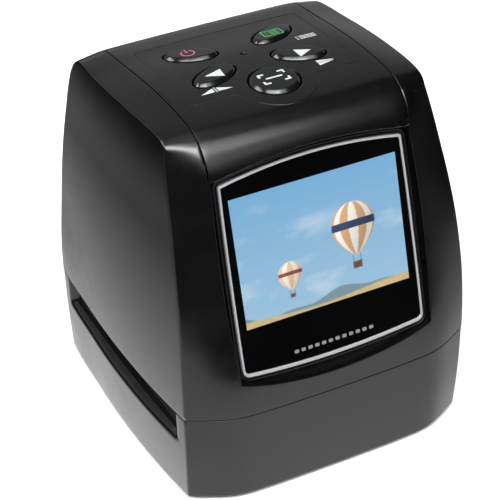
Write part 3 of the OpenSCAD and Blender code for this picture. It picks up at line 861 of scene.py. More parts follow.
def make_rear():
    B = Build()
    w = 28.4 - GAP
    zt, zb = 94.35, REAR_Z + 0.4
    xb = [-w, -20, -4, 21.5, 22.2, 26.4, w]
    zb_ = [zb, 47.7, 56.3, 59.6, 87.4, zt] + [56 + 4 * i for i in range(6)] + [57.4 + 4 * i for i in range(6)]

    def lines(br, step):
        br = sorted(set(br))
        out = []
        for a, b in zip(br[:-1], br[1:]):
            n = max(1, int(math.ceil((b - a) / step)))
            out += list(np.linspace(a, b, n, endpoint=False))
        return np.array(out + [br[-1]])

    xs, zs = lines(xb, 2.2), lines(zb_, 2.4)
    s = back_s(zs)
    g = wrap(s[:, None] + 0 * xs[None], xs[None] + 0 * s[:, None])
    off = len(B.v)
    B.v += g.reshape(-1, 3).tolist()
    nxx = len(xs)
    for i in range(len(zs) - 1):
        for j in range(nxx - 1):
            x, z = (xs[j] + xs[j + 1]) / 2, (zs[i] + zs[i + 1]) / 2
            if 22.2 < x < 26.4 and 59.6 < z < 87.4:
                continue
            if 21.5 < x < 26.4 and 47.7 < z < 56.3:
                continue
            if -20 < x < -4 and any(56 + 4 * q < z < 57.4 + 4 * q for q in range(6)):
                continue
            B.f.append([off + i * nxx + j, off + i * nxx + j + 1, off + (i + 1) * nxx + j + 1, off + (i + 1) * nxx + j])
    o = B.obj("rear_panel_body", mats=[MAT["casing"]], recalc=True)
    bm = bmesh.new()
    bm.from_mesh(o.data)
    loose = [v for v in bm.verts if not v.link_faces]
    bmesh.ops.delete(bm, geom=loose, context="VERTS")
    bm.to_mesh(o.data)
    bm.free()
    return finish_shell(o, 1.6, 0.25)


def make_vent_shade_sheet():
    """Dark matte sheet bonded inside the rear panel, behind its vents: painted shade seen through the vents."""
    B = Build()
    xs, zs = np.linspace(-21.5, -2.5, 9), np.linspace(54.5, 79.0, 12)
    s = back_s(zs)
    g = wrap(s[:, None] + 0 * xs[None], xs[None] + 0 * s[:, None])
    g[..., 1] -= 1.55
    off = len(B.v)
    B.v += g.reshape(-1, 3).tolist()
    n = len(xs)
    for i in range(len(zs) - 1):
        for j in range(n - 1):
            B.f.append([off + i * n + j, off + i * n + j + 1, off + (i + 1) * n + j + 1, off + (i + 1) * n + j])
    # painted shade: matte near-black sheet seen through the vents
    o = B.obj("vent_shade_sheet", mats=[MAT["flock"]], recalc=True)
    return finish_shell(o, 0.7, 0.12)


# ---------------------------------------------------------------- screen, buttons, signs


def arched2(x0, yt, yb, st, sb, ss, r_top=0.9, r_bot=2.2, g=0.0, n=36, nc=9, tap=0.0):
    """Outline of four shallow arcs with rounded corners, anticlockwise; any two match point for point."""
    x0, yt, yb = x0 + g, yt + g, yb - g
    r_top, r_bot = max(r_top + g, 0.15), max(r_bot + g, 0.15)
    rt = (x0 * x0 + st * st) / (2 * st)
    rb = (x0 * x0 + sb * sb) / (2 * sb)
    hh = (yt - yb) / 2
    rs = (hh * hh + ss * ss) / (2 * ss)
    cy = (yt + yb) / 2

    def bottom(x):
        return np.array([x, yb - sb + rb - math.sqrt(rb * rb - x * x)])

    def top(x):
        return np.array([x, yt + st - rt + math.sqrt(rt * rt - x * x)])

    def side(y):
        return np.array([x0 + ss - rs + math.sqrt(rs * rs - (y - cy) ** 2), y])

    kb, kt = r_bot * 1.15, r_top * 1.15
    pts = []
    sg = np.array([-1.0, 1.0])
    bt = [bottom(x) for x in np.linspace(-x0 + kb, x0 - kb, n)]
    rg = [side(y) for y in np.linspace(yb + kb, yt - kt, n)]
    tp = [top(x) for x in np.linspace(x0 - kt, -x0 + kt, n)]
    lf = [side(y) * sg for y in np.linspace(yt - kt, yb + kb, n)]
    cor = [np.array([x0, yb]), np.array([x0, yt]), np.array([-x0, yt]), np.array([-x0, yb])]
    segs = [bt, rg, tp, lf]
    for i in range(4):
        a, b = segs[i], segs[(i + 1) % 4]
        pts += a
        for t in np.linspace(0, 1, nc + 2)[1:-1]:
            pts.append((1 - t) ** 2 * a[-1] + 2 * t * (1 - t) * cor[i] + t * t * b[0])
    pts = np.array(pts)
    pts[:, 0] *= 1 - tap * (pts[:, 1] - cy) / hh / x0      # a little wider at the foot
    return pts


def loft_screen(B, prof, closed=False):
    """prof: (kind, offset, w). Lofts rings in the screen plane; rings run anticlockwise seen from outside."""
    rings = []
    for kind, g, w in prof:
        o = arched2(**{"rec": REC, "tri": TRI, "inn": TRI_IN}[kind], g=g, r_top=0.6, r_bot=1.6 if kind == "rec" else 2.0)
        o = np.vstack([o, o[:1]])
        rings.append(scr(o[:, 0], o[:, 1], w))
    if closed:
        rings.append(rings[0])
    B.grid(np.array(rings))


def make_screen():
    B = Build()
    loft_screen(B, [("tri", -0.16, -2.4), ("tri", -0.16, -0.5), ("tri", -0.02, -0.5), ("tri", 0.0, -0.12), ("tri", 0.06, -0.04),
                    ("tri", 0.20, -0.04), ("tri", 0.26, -0.12), ("tri", 0.28, -0.55), ("tri", 0.56, -0.55), ("tri", 0.60, -0.22),
                    ("tri", 0.68, -0.14), ("tri", 0.90, -0.14), ("tri", 1.0, -0.22), ("tri", 1.05, -0.5), ("tri", 1.08, -1.1),
                    ("tri", 1.1, -1.5), ("rec", -0.32, -1.6), ("rec", -0.26, -1.5), ("rec", -0.25, -0.1), ("rec", -0.22, -0.02), ("rec", -0.06, -0.02),
                    ("rec", -0.03, -0.1), ("rec", -0.03, -2.6), ("tri", -0.16, -2.6)], closed=True)
    bez = B.obj("screen_bezel_frame", mats=[MAT["bezel"]], recalc=True)
    bez.data.set_sharp_from_angle(angle=math.radians(50))
    B = Build()
    loft_screen(B, [("tri", -0.22, -1.4), ("tri", -0.22, 0.18), ("tri", -0.25, 0.27), ("tri", -0.32, 0.31), ("tri", -0.5, 0.32), ("inn", -0.68, 0.31),
                    ("inn", -0.75, 0.27), ("inn", -0.78, 0.18), ("inn", -0.78, -1.4)], closed=True)
    trim = B.obj("screen_trim_ring", mats=[MAT["trim"]], recalc=True)
    trim.data.set_sharp_from_angle(angle=math.radians(50))
    # window: a plate with a fine grid where the picture lies behind it
    B = Build()
    out = arched2(**TRI_IN, g=-0.80, r_top=0.6, r_bot=2.0)
    inn = arched2(**TRI_IN, g=-0.90, r_top=0.6, r_bot=2.0)
    n = len(out)
    pu, pv_ = 23.8, 17.45
    nu, nv = 239, 175
    us, vs = np.linspace(-pu, pu, nu), np.linspace(-pv_, pv_, nv)
    v2 = [tuple(p) for p in inn]
    e2 = [(i, (i + 1) % n) for i in range(n)]
    rect = [(u, -pv_) for u in us[:-1]] + [(pu, v) for v in vs[:-1]] + [(u, pv_) for u in us[:0:-1]] + [(-pu, v) for v in vs[:0:-1]]
    off = len(v2)
    v2 += rect
    e2 += [(off + i, off + (i + 1) % len(rect)) for i in range(len(rect))]
    tv, tf = triangulate(v2, e2, inn, [np.array(rect)])
    B.faces([scr(p[0], p[1], 0.0) for p in tv], tf)
    uu, vv = np.meshgrid(us, vs)
    B.grid(scr(uu, vv, 0.0 * uu))
    rings = [scr(o[:, 0], o[:, 1], w) for o, w in ((np.vstack([inn, inn[:1]]), 0.0), (np.vstack([out, out[:1]]), -0.09), (np.vstack([out, out[:1]]), -1.4))]
    B.grid(np.array(rings))
    bo = np.vstack([out, out[:1]])
    B.faces([scr(p[0], p[1], -1.4) for p in out] + [scr(0.0, -2.0, -1.4)], [[i, (i + 1) % n, n] for i in range(n)])
    win = B.obj("screen_window_plate", weld=0.002, mats=[MAT["window"], MAT["picture"]], recalc=True)
    me = win.data
    # faces of the picture and its colours
    co = np.zeros(len(me.vertices) * 3, np.float32)
    me.vertices.foreach_get("co", co)
    co = co.reshape(-1, 3) / MM
    u = co[:, 0]
    v = (co - O3) @ VV
    w = (co - O3) @ WW
    col = me.color_attributes.new("picture_colour", "FLOAT_COLOR", "POINT")
    rgb = paint(u, v)
    a = np.ones((len(u), 4), np.float32)
    a[:, :3] = rgb
    col.data.foreach_set("color", a.ravel())
    for p in me.polygons:
        k = list(p.vertices)
        cu, cv, cw = u[k].mean(), v[k].mean(), w[k].mean()
        if abs(cu) < pu and abs(cv) < pv_ and cw > -0.05:
            p.material_index = 1
    me.set_sharp_from_angle(angle=math.radians(30))
    return bez, trim, win


def value_noise(x, y, seed, octaves=5, f0=1.0):
    rng = np.random.RandomState(seed)
    tab = rng.rand(64, 64)
    out, amp, tot = np.zeros_like(x), 1.0, 0.0
    for _ in range(octaves):
        fx, fy = x * f0, y * f0
        ix, iy = np.floor(fx).astype(int), np.floor(fy).astype(int)
        tx, ty = fx - ix, fy - iy
        tx, ty = tx * tx * (3 - 2 * tx), ty * ty * (3 - 2 * ty)
        a = tab[ix % 64, iy % 64]
        b = tab[(ix + 1) % 64, iy % 64]
        c = tab[ix % 64, (iy + 1) % 64]
        d = tab[(ix + 1) % 64, (iy + 1) % 64]
        out += amp * ((a * (1 - tx) + b * tx) * (1 - ty) + (c * (1 - tx) + d * tx) * ty)
        tot += amp
        amp *= 0.5
        f0 *= 2.03
    return out / tot


def lin(c):
    c = np.asarray(c, float) / 255.0
    return np.where(c <= 0.04045, c / 12.92, ((c + 0.055) / 1.055) ** 2.4)


def paint(u, v):
    """A plain holiday view of our own: blue sky, thin cloud, two balloons over a dry field."""
    u, v = np.asarray(u, float), np.asarray(v, float)
    t = np.clip((v + 17.45) / 34.9, 0, 1)[:, None]
    sky = lin((158, 196, 222)) * (1 - t) + lin((122, 176, 216)) * t
    n = value_noise(u * 0.07 + 11, v * 0.16 + 5, 4, 5)
    cl = np.clip((n - 0.56) * 3.2, 0, 1)[:, None] * (0.30 + 0.55 * (1 - t))
    img = sky * (1 - cl) + lin((214, 228, 238)) * cl

    def over(img, mask, col):
        m = np.clip(mask, 0, 1)[:, None]
        return img * (1 - m) + col * m

    def soft(d, w=0.16):
        return np.clip(0.5 - d / (2 * w), 0, 1)

    # far hills and a dry field
    h1 = -15.2 + 1.1 * np.sin(u * 0.17 + 0.6) + 0.5 * np.sin(u * 0.43)
    img = over(img, soft(v - h1), lin((126, 150, 160)))
    h2 = -16.1 + 0.7 * np.sin(u * 0.12 - 1.2)
    field = lin((206, 184, 140)) * (0.85 + 0.3 * value_noise(u * 0.9, v * 2.2, 9, 4)[:, None])
    img = over(img, soft(v - h2), field)

    def balloon(img, cx, cy, r, c1, c2, c3, gores):
        dx, dy = (u - cx) / r, (v - cy) / r
        # envelope: round above, drawn in to a neck below
        half = np.sqrt(np.clip(1 - np.clip(dy, 0, 1) ** 2, 0, 1))
        low = np.clip(-dy / 1.35, 0, 1)
        half = np.where(dy < 0, np.clip(1 - low**2.1, 0, 1) * 0.86 + 0.14 * (1 - low), half)
        ok = (dy < 1) & (dy > -1.3)
        edge = (np.abs(dx) - half) * r
        m = soft(edge) * ok
        ang = np.arcsin(np.clip(dx / np.maximum(half, 1e-3), -1, 1)) / math.pi * gores
        k = np.mod(np.floor(ang + 0.5), 2)[:, None]
        c = lin(c1) * (1 - k) + lin(c2) * k
        band = ((dy > -0.12) & (dy < 0.22))[:, None]
        c = np.where(band, lin(c3) * (0.9 + 0.1 * k), c)
        shade = (0.72 + 0.38 * np.clip(0.55 - 0.75 * dx + 0.35 * dy, 0, 1))[:, None]
        img = over(img, m, np.clip(c * shade, 0, 1))
        # lines and basket
        for s in (-1, 1):
            lx = cx + s * r * (0.17 + 0.02 * 0)
            m = soft(np.abs(u - lx) - 0.05 * r / 3, 0.08) * ((v < cy - 1.28 * r) & (v > cy - 1.6 * r))
            img = over(img, m * 0.8, lin((90, 80, 70)))
        bx = np.abs(u - cx) - 0.21 * r
        by = np.abs(v - (cy - 1.72 * r)) - 0.15 * r
        img = over(img, soft(np.maximum(bx, by)), lin((112, 78, 52)))
        return img

    img = balloon(img, 9.5, 1.6, 6.3, (244, 240, 232), (214, 170, 126), (60, 74, 104), 7)
    img = balloon(img, -9.8, -6.2, 3.4, (232, 200, 164), (244, 238, 226), (150, 84, 74), 6)
    return img.astype(np.float32)


def cap_top(x, y):
    return top_z(x, y) + 0.785


def make_button(k):
    B = Build()
    R = 1.10
    rings = []
    cx, cy, t = KEYS[k]

    def ring(g, drop, scale=1.0):
        o = key_outline(k, g)
        o = np.vstack([o, o[:1]])
        o = np.array([cx, cy]) + (o - [cx, cy]) * scale
        z = cap_top(o[:, 0], o[:, 1]) - drop
        return np.concatenate([o, z[:, None]], 1)

    gap = 0.42
    for s in (0.02, 0.15, 0.3, 0.45, 0.6, 0.74, 0.88):
        rings.append(ring(-gap - R, 0.0, s))
    # bevelled rim: flat top, soft edge, straight slope, soft edge, shaft
    for e, drop in ((1.10, 0.0), (0.96, 0.012), (0.84, 0.05), (0.74, 0.13), (0.44, 0.45), (0.16, 0.75), (0.07, 0.87), (0.02, 1.0), (0.0, 1.2)):
        rings.append(ring(-gap - e, drop))
    rings.append(ring(-gap, 2.0))
    rings.append(ring(-gap, 3.4))
    for s in (0.7, 0.4, 0.02):
        rings.append(ring(-gap, 3.4, s))
    B.grid(np.array(rings))
    n = len(rings[0]) - 1
    for r0, flip in ((rings[0], False), (rings[-1], True)):
        B.faces([tuple(p) for p in r0[:-1]] + [tuple(r0[:-1].mean(0))], [[i, (i + 1) % n, n] for i in range(n)])
    o = B.obj(KEY_NAMES[k] + "_button_cap", weld=0.003, mats=[MAT["button"]], recalc=True, body=KEY_NAMES[k] + "_key")
    return o


def decal(name, shapes, zf, mat, body, lift=0.035, place=None, depth=0.09):
    """Thin raised sign: each shape is (outline, [holes]) in the plane; place(x, y, h) lifts it onto its surface."""
    B = Build()
    if place is None:
        def place(x, y, h):
            z = zf(x, y) + h
            return np.stack([x, y, z], -1)
    for out, holes in shapes:
        out = np.asarray(out, float)
        loops = [out] + [np.asarray(h, float) for h in holes]
        v2, e2 = [], []
        for l in loops:
            off = len(v2)
            v2 += [tuple(p) for p in l]
            e2 += [(off + i, off + (i + 1) % len(l)) for i in range(len(l))]
        tv, tf = triangulate(v2, e2, out, loops[1:])
        tv = np.array(tv)
        top = place(tv[:, 0], tv[:, 1], lift)
        bot = place(tv[:, 0], tv[:, 1], lift - depth)
        B.faces(top, tf)
        B.faces(bot, [f[::-1] for f in tf])
        for l in loops:
            a, b = place(l[:, 0], l[:, 1], lift), place(l[:, 0], l[:, 1], lift - depth)
            m = len(l)
            B.faces(np.vstack([a, b]), [[i, (i + 1) % m, m + (i + 1) % m, m + i] for i in range(m)])
    o = B.obj(name, weld=0.002, recalc=True, mats=[mat], body=body)
    o.data.set_sharp_from_angle(angle=math.radians(40))
    return o


def rect_(cx, cy, w, h, r=0.0, n=4, seg=0.8):
    if r <= 0:
        p = [(cx - w / 2, cy - h / 2), (cx + w / 2, cy - h / 2), (cx + w / 2, cy + h / 2), (cx - w / 2, cy + h / 2)]
    else:
        p = []
        for qx, qy, a0 in ((1, -1, -90), (1, 1, 0), (-1, 1, 90), (-1, -1, 180)):
            for a in np.radians(np.linspace(a0, a0 + 90, n + 1)):
                p.append((cx + qx * (w / 2 - r) + r * math.cos(a), cy + qy * (h / 2 - r) + r * math.sin(a)))
    return dense(p, seg)


def dense(p, step):
    out = []
    p = [np.array(q, float) for q in p]
    for a, b in zip(p, p[1:] + p[:1]):
        n = max(1, int(math.ceil(np.linalg.norm(b - a) / step)))
        for i in range(n):
            out.append(a + (b - a) * i / n)
    return np.array(out)


def arc_band(cx, cy, r0, r1, a0, a1, n=36):
    a = np.radians(np.linspace(a0, a1, n))
    o = [(cx + r1 * math.cos(t), cy + r1 * math.sin(t)) for t in a]
    i = [(cx + r0 * math.cos(t), cy + r0 * math.sin(t)) for t in a[::-1]]
    return np.array(o + i)


def disc(cx, cy, r, n=28):
    a = np.linspace(0, 2 * math.pi, n, endpoint=False)
    return np.stack([cx + r * np.cos(a), cy + r * np.sin(a)], -1)


def make_signs():
    out = []
    cx, cy = KEYS[0][0] - 0.7, KEYS[0][1] + 0.3
    out.append(decal("power_sign", [(arc_band(cx, cy - 0.15, 1.55, 1.92, 120, 420), []), (rect_(cx, cy + 1.15, 0.38, 2.1, 0.15), [])],
                     cap_top, MAT["ink_red"], "power_key"))
    cx, cy = KEYS[1][0] - 0.2, KEYS[1][1] - 0.6
    sh = [(rect_(cx, cy, 5.8, 3.7, 0.5), [rect_(cx, cy, 5.2, 3.1, 0.25)])]
    for i in (-1, 0, 1):
        sh.append((rect_(cx + 0.55, cy + i * 0.9, 2.7, 0.32), []))
        sh.append((rect_(cx - 1.7, cy + i * 0.9, 0.45, 0.32), []))
    out.append(decal("menu_sign", sh, cap_top, MAT["ink_green"], "menu_key"))
    out.append(decal("left_sign", [(dense([(-9.95, 0.65), (-15.1, -1.05), (-10.4, -3.2)], 0.8), [])], cap_top, MAT["ink_white"], "left_key"))
    out.append(decal("right_sign", [(dense([(11.15, -3.75), (15.3, -1.5), (11.15, 0.5)], 0.8), [])], cap_top, MAT["ink_white"], "right_key"))
    cx, cy = KEYS[4][:2]
    cy += 0.3
    sh = []
    W, H, L, T = 7.5, 5.2, 1.8, 0.6
    for sx_ in (-1, 1):
        for sy_ in (-1, 1):
            x0, y0 = cx + sx_ * W / 2, cy + sy_ * H / 2
            p = [(x0, y0), (x0 - sx_ * L, y0), (x0 - sx_ * L, y0 - sy_ * T), (x0 - sx_ * T, y0 - sy_ * T), (x0 - sx_ * T, y0 - sy_ * L * 0.85), (x0, y0 - sy_ * L * 0.85)]
            if sx_ * sy_ > 0:
                p = p[::-1]
            sh.append((dense(p, 0.7), []))
    sh.append((rect_(cx, cy, 4.7, 0.6, 0.2), []))
    out.append(decal("scan_sign", sh, cap_top, MAT["ink_white"], "scan_key"))
    # small signs on the cover in the places beside the keys
    sh = []
    # mirror: two triangles back to back beside a line
    mx, my = -15.2, -7.3
    c, s = math.cos(math.radians(0)), math.sin(math.radians(0))
    sh.append((dense([(mx - 0.55, my - 0.95), (mx - 0.55, my + 0.95), (mx - 4.4, my - 0.95)], 0.8), []))
    sh.append((dense([(mx + 0.55, my - 0.95), (mx + 4.4, my - 0.95), (mx + 0.55, my + 0.95)], 0.8), []))
    sh.append((rect_(mx, my, 0.26, 2.5), []))
    # flip: two triangles over and under a line
    fx, fy = 16.2, -7.7
    sh.append((dense([(fx - 2.3, fy + 0.26), (fx + 2.3, fy + 0.26), (fx - 2.3, fy + 1.35)], 0.8), []))
    sh.append((dense([(fx - 2.3, fy - 0.26), (fx - 2.3, fy - 1.35), (fx + 2.3, fy - 0.26)], 0.8), []))
    sh.append((rect_(fx, fy, 4.6, 0.2), []))
    # list: three short bars
    lx, ly = 19.2, 7.6
    for i in (-1, 0, 1):
        sh.append((rect_(lx + 0.1, ly + i * 0.8, 4.6, 0.36), []))
        sh.append((rect_(lx - 2.95, ly + i * 0.8, 0.5, 0.36), []))
    out.append(decal("cover_signs", sh, lambda x, y: top_z(x, y), MAT["ink_white"], BODY, lift=0.03, depth=0.08))
    # row of film holes under the screen
    sh = [(rect_(-11.0 + 2.0 * i, -27.4, 1.25, 0.95, 0.22, 3), []) for i in range(12)]
    out.append(decal("screen_sign", sh, None, MAT["ink_grey"], BODY, lift=0.015, depth=0.05,
                     place=lambda x, y, h: scr(x, y, h)))
    return out


# ---------------------------------------------------------------- materials
MAT = {}


def mat_new(name):
    m = bpy.data.materials.new(name)
    m.use_nodes = True
    nt = m.node_tree
    b = nt.nodes["Principled BSDF"]
    return m, nt, b


def link(nt, a, ai, b, bi):
    nt.links.new(a.outputs[ai], b.inputs[bi])


def coords(nt):
    return nt.nodes.new("ShaderNodeTexCoord")


def noise(nt, tc, scale, detail=3.0, rough=0.55, dist=0.0):
    n = nt.nodes.new("ShaderNodeTexNoise")
    n.inputs["Scale"].default_value = scale
    n.inputs["Detail"].default_value = detail
    n.inputs["Roughness"].default_value = rough
    n.inputs["Distortion"].default_value = dist
    link(nt, tc, "Object", n, "Vector")
    return n


def ramp(nt, src, sock, stops):
    r = nt.nodes.new("ShaderNodeValToRGB")
    el = r.color_ramp.elements
    while len(el) < len(stops):
        el.new(0.5)
    for e, (p, c) in zip(el, stops):
        e.position = p
        e.color = (*c, 1.0) if len(c) == 3 else c
    link(nt, src, sock, r, "Fac")
    return r


def plastic(name, col, rough, grain=0.12, grain_mm=0.16, var=0.12, spec=0.5, specks=0.0, tint=None):
    """Moulded plastic: fine spark grain, faint flow variation, uneven gloss and a few specks of dust."""
    m, nt, b = mat_new(name)
    tc = coords(nt)
    flow = noise(nt, tc, 46.0, 4.0, 0.6)
    lo = [c * (1 - var) for c in col]
    hi = [c * (1 + var) for c in (tint or col)]
    base = ramp(nt, flow, "Fac", [(0.32, lo), (0.68, hi)])
    src, so = base, "Color"
    if specks > 0:
        sp = nt.nodes.new("ShaderNodeTexVoronoi")
        sp.inputs["Scale"].default_value = 330.0
        link(nt, tc, "Object", sp, "Vector")
        dot = nt.nodes.new("ShaderNodeMapRange")
        for k, v in (("From Min", 0.02), ("From Max", 0.05), ("To Min", 1.0), ("To Max", 0.0)):
            dot.inputs[k].default_value = v
        link(nt, sp, "Distance", dot, "Value")
        pick = ramp(nt, sp, "Color", [(0.80, (0, 0, 0)), (0.84, (1, 1, 1))])
        th = nt.nodes.new("ShaderNodeMath")
        th.operation = "MULTIPLY"
        link(nt, dot, "Result", th, 0)
        link(nt, pick, "Color", th, 1)
        th2 = nt.nodes.new("ShaderNodeMath")
        th2.operation = "MULTIPLY"
        th2.inputs[1].default_value = specks
        link(nt, th, 0, th2, 0)
        mx = nt.nodes.new("ShaderNodeMix")
        mx.data_type = "RGBA"
        link(nt, th2, 0, mx, 0)
        link(nt, base, "Color", mx, 6)
        mx.inputs[7].default_value = (0.22, 0.22, 0.21, 1)
        src, so = mx, 2
    link(nt, src, so, b, "Base Color")
    rn = noise(nt, tc, 130.0, 3.0, 0.6)
    rr = nt.nodes.new("ShaderNodeMapRange")
    rr.inputs["From Min"].default_value, rr.inputs["From Max"].default_value = 0.3, 0.7
    rr.inputs["To Min"].default_value, rr.inputs["To Max"].default_value = rough - 0.035, rough + 0.035
    link(nt, rn, "Fac", rr, "Value")
    link(nt, rr, "Result", b, "Roughness")
    gn = noise(nt, tc, 1.0 / (grain_mm * MM), 2.0, 0.6)
    bp = nt.nodes.new("ShaderNodeBump")
    bp.inputs["Strength"].default_value = grain
    bp.inputs["Distance"].default_value = 0.00004
    link(nt, gn, "Fac", bp, "Height")
    link(nt, bp, "Normal", b, "Normal")
    b.inputs["Specular IOR Level"].default_value = spec
    b.inputs["IOR"].default_value = 1.5
    return m


def metal(name, col, rough, brushed=0.0):
    m, nt, b = mat_new(name)
    tc = coords(nt)
    n1 = noise(nt, tc, 260.0, 4.0)
    r1 = ramp(nt, n1, "Fac", [(0.3, [c * 0.88 for c in col]), (0.7, [min(1, c * 1.08) for c in col])])
    link(nt, r1, "Color", b, "Base Color")
    b.inputs["Metallic"].default_value = 1.0
    n2 = noise(nt, tc, 900.0, 3.0)
    rr = nt.nodes.new("ShaderNodeMapRange")
    rr.inputs["To Min"].default_value, rr.inputs["To Max"].default_value = rough - 0.06, rough + 0.06
    link(nt, n2, "Fac", rr, "Value")
    link(nt, rr, "Result", b, "Roughness")
    bp = nt.nodes.new("ShaderNodeBump")
    bp.inputs["Strength"].default_value = 0.08
    bp.inputs["Distance"].default_value = 0.00003
    link(nt, n2, "Fac", bp, "Height")
    link(nt, bp, "Normal", b, "Normal")
    return m


def board_mat():
    """Solder mask with copper runs showing through and a speckle of vias."""
    m, nt, b = mat_new("board_green")
    tc = coords(nt)
    br = nt.nodes.new("ShaderNodeTexBrick")
    br.inputs["Scale"].default_value = 220.0
    br.inputs["Mortar Size"].default_value = 0.035
    br.inputs["Color1"].default_value = (0.012, 0.085, 0.03, 1)
    br.inputs["Color2"].default_value = (0.014, 0.105, 0.036, 1)
    br.inputs["Mortar"].default_value = (0.03, 0.19, 0.07, 1)
    link(nt, tc, "Object", br, "Vector")
    vo = nt.nodes.new("ShaderNodeTexVoronoi")
    vo.inputs["Scale"].default_value = 420.0
    link(nt, tc, "Object", vo, "Vector")
    via = ramp(nt, vo, "Distance", [(0.08, (1, 1, 1)), (0.12, (0, 0, 0))])
    mx = nt.nodes.new("ShaderNodeMix")
    mx.data_type = "RGBA"
    link(nt, via, "Color", mx, 0)
    link(nt, br, "Color", mx, 6)
    mx.inputs[7].default_value = (0.45, 0.36, 0.16, 1)
    link(nt, mx, 2, b, "Base Color")
    b.inputs["Roughness"].default_value = 0.35
    return m


def picture_mat():
    m, nt, b = mat_new("lit_picture")
    at = nt.nodes.new("ShaderNodeVertexColor")
    at.layer_name = "picture_colour"
    tc = coords(nt)
    n = noise(nt, tc, 5000.0, 2.0)
    mr = nt.nodes.new("ShaderNodeMapRange")
    mr.inputs["To Min"].default_value, mr.inputs["To Max"].default_value = 0.96, 1.04
    link(nt, n, "Fac", mr, "Value")
    mx = nt.nodes.new("ShaderNodeMix")
    mx.data_type = "RGBA"
    mx.blend_type = "MULTIPLY"
    mx.inputs[0].default_value = 1.0
    link(nt, at, "Color", mx, 6)
    link(nt, mr, "Result", mx, 7)
    link(nt, mx, 2, b, "Emission Color")
    b.inputs["Emission Strength"].default_value = 0.97
    b.inputs["Base Color"].default_value = (0.004, 0.004, 0.005, 1)
    b.inputs["Roughness"].default_value = 0.07
    b.inputs["Specular IOR Level"].default_value = 0.4
    return m


def window_mat():
    m, nt, b = mat_new("window_black")
    tc = coords(nt)
    n = noise(nt, tc, 30.0, 3.0)
    r = ramp(nt, n, "Fac", [(0.35, (0.0010, 0.0010, 0.0012)), (0.65, (0.0014, 0.0014, 0.0016))])
    link(nt, r, "Color", b, "Base Color")
    n2 = noise(nt, tc, 420.0, 3.0)
    rr = nt.nodes.new("ShaderNodeMapRange")
    rr.inputs["To Min"].default_value, rr.inputs["To Max"].default_value = 0.05, 0.10
    link(nt, n2, "Fac", rr, "Value")
    link(nt, rr, "Result", b, "Roughness")
    b.inputs["Specular IOR Level"].default_value = 0.45
    return m


def ink(name, col, rough=0.5):
    m, nt, b = mat_new(name)
    tc = coords(nt)
    n = noise(nt, tc, 1800.0, 3.0)
    r = ramp(nt, n, "Fac", [(0.3, [c * 0.85 for c in col]), (0.65, col)])
    link(nt, r, "Color", b, "Base Color")
    b.inputs["Roughness"].default_value = rough
    return m


def make_materials():
    MAT["casing"] = plastic("casing_black", (0.0019, 0.0020, 0.0022), 0.215, grain=0.14, grain_mm=0.14, specks=0.5)
    MAT["cover"] = plastic("cover_black", (0.0019, 0.0020, 0.0021), 0.21, grain=0.11, grain_mm=0.13, specks=0.5)
    MAT["bezel"] = plastic("bezel_black", (0.0016, 0.0016, 0.0018), 0.38, grain=0.08)
    MAT["button"] = plastic("button_black", (0.0034, 0.0036, 0.0040), 0.20, grain=0.05, grain_mm=0.12, specks=0.25)
    MAT["trim"] = plastic("trim_silver", (0.36, 0.36, 0.38), 0.36, grain=0.10, grain_mm=0.10, var=0.04, spec=0.6)
    MAT["trim"].node_tree.nodes["Principled BSDF"].inputs["Metallic"].default_value = 0.35
    MAT["window"] = window_mat()
    MAT["picture"] = picture_mat()
    MAT["ink_white"] = ink("ink_white", (0.42, 0.43, 0.43))
    MAT["ink_grey"] = ink("ink_grey", (0.15, 0.155, 0.155))
    MAT["ink_red"] = ink("ink_red", (0.36, 0.075, 0.14))
    MAT["ink_green"] = ink("ink_green", (0.05, 0.25, 0.085))
    MAT["steel"] = metal("steel_plate", (0.62, 0.62, 0.61), 0.34)
    MAT["dark_steel"] = metal("steel_dark", (0.12, 0.12, 0.125), 0.42)
    MAT["flex"] = plastic("flex_amber", (0.42, 0.19, 0.05), 0.35, grain=0.05, var=0.2)
    MAT["board"] = board_mat()
    MAT["chip"] = plastic("chip_epoxy", (0.018, 0.018, 0.019), 0.55, grain=0.3, grain_mm=0.08)
    MAT["diffuser"] = plastic("diffuser_opal", (0.82, 0.82, 0.79), 0.45, grain=0.1, var=0.03)
    MAT["inner_black"] = plastic("inner_black", (0.014, 0.014, 0.0145), 0.6, grain=0.25, grain_mm=0.2)
    # matte near-black painted shade, used in the tunnel mouth and behind the rear vents
    MAT["flock"] = plastic("painted_shade_matte_black", (0.0012, 0.0012, 0.0012), 0.9, grain=0.6, grain_mm=0.25, spec=0.1)
    MAT["white_inner"] = plastic("inner_white", (0.74, 0.74, 0.71), 0.5, grain=0.1, var=0.04)
    MAT["rubber"] = plastic("rubber_black", (0.02, 0.02, 0.02), 0.75, grain=0.4, grain_mm=0.3)
    MAT["smoked"] = plastic("smoked_clear", (0.003, 0.0027, 0.0026), 0.45, grain=0.03, spec=0.2)
    m, nt, b = mat_new("lens_glass")
    tc = coords(nt)
    n = noise(nt, tc, 200.0, 2.0)
    r = ramp(nt, n, "Fac", [(0.3, (0.90, 0.95, 0.96)), (0.7, (0.96, 0.98, 0.99))])
    link(nt, r, "Color", b, "Base Color")
    b.inputs["Roughness"].default_value = 0.03
    b.inputs["Transmission Weight"].default_value = 1.0
    MAT["clear"] = m
    MAT["led_white"] = plastic("led_white", (0.8, 0.74, 0.5), 0.4, grain=0.05)


SLOT_MAT = {"casing": "casing", "bezel": "bezel", "bright_trim": "trim", "window": "window", "picture": "inner_black", "dark_steel": "dark_steel",
            "flex": "flex", "board": "board", "chip": "chip", "diffuser": "diffuser", "clear": "clear", "steel": "steel", "inner_black": "inner_black",
            "white_inner": "white_inner", "button": "button", "rubber": "rubber"}


def dress_nodes():
    for name, o in N.items():
        for i, s in enumerate(o.material_slots):
            key = (s.material.name if s.material else "").split(".")[0]
            k = SLOT_MAT.get(key)
            if name in ("status_light_pipe",):
                k = "smoked"
            if name in ("light_leds", "status_led"):
                k = "led_white"
            if k is None:
                print("SLOT?", name, key)
                k = "inner_black"
            s.material = MAT[k]


# ---------------------------------------------------------------- stage


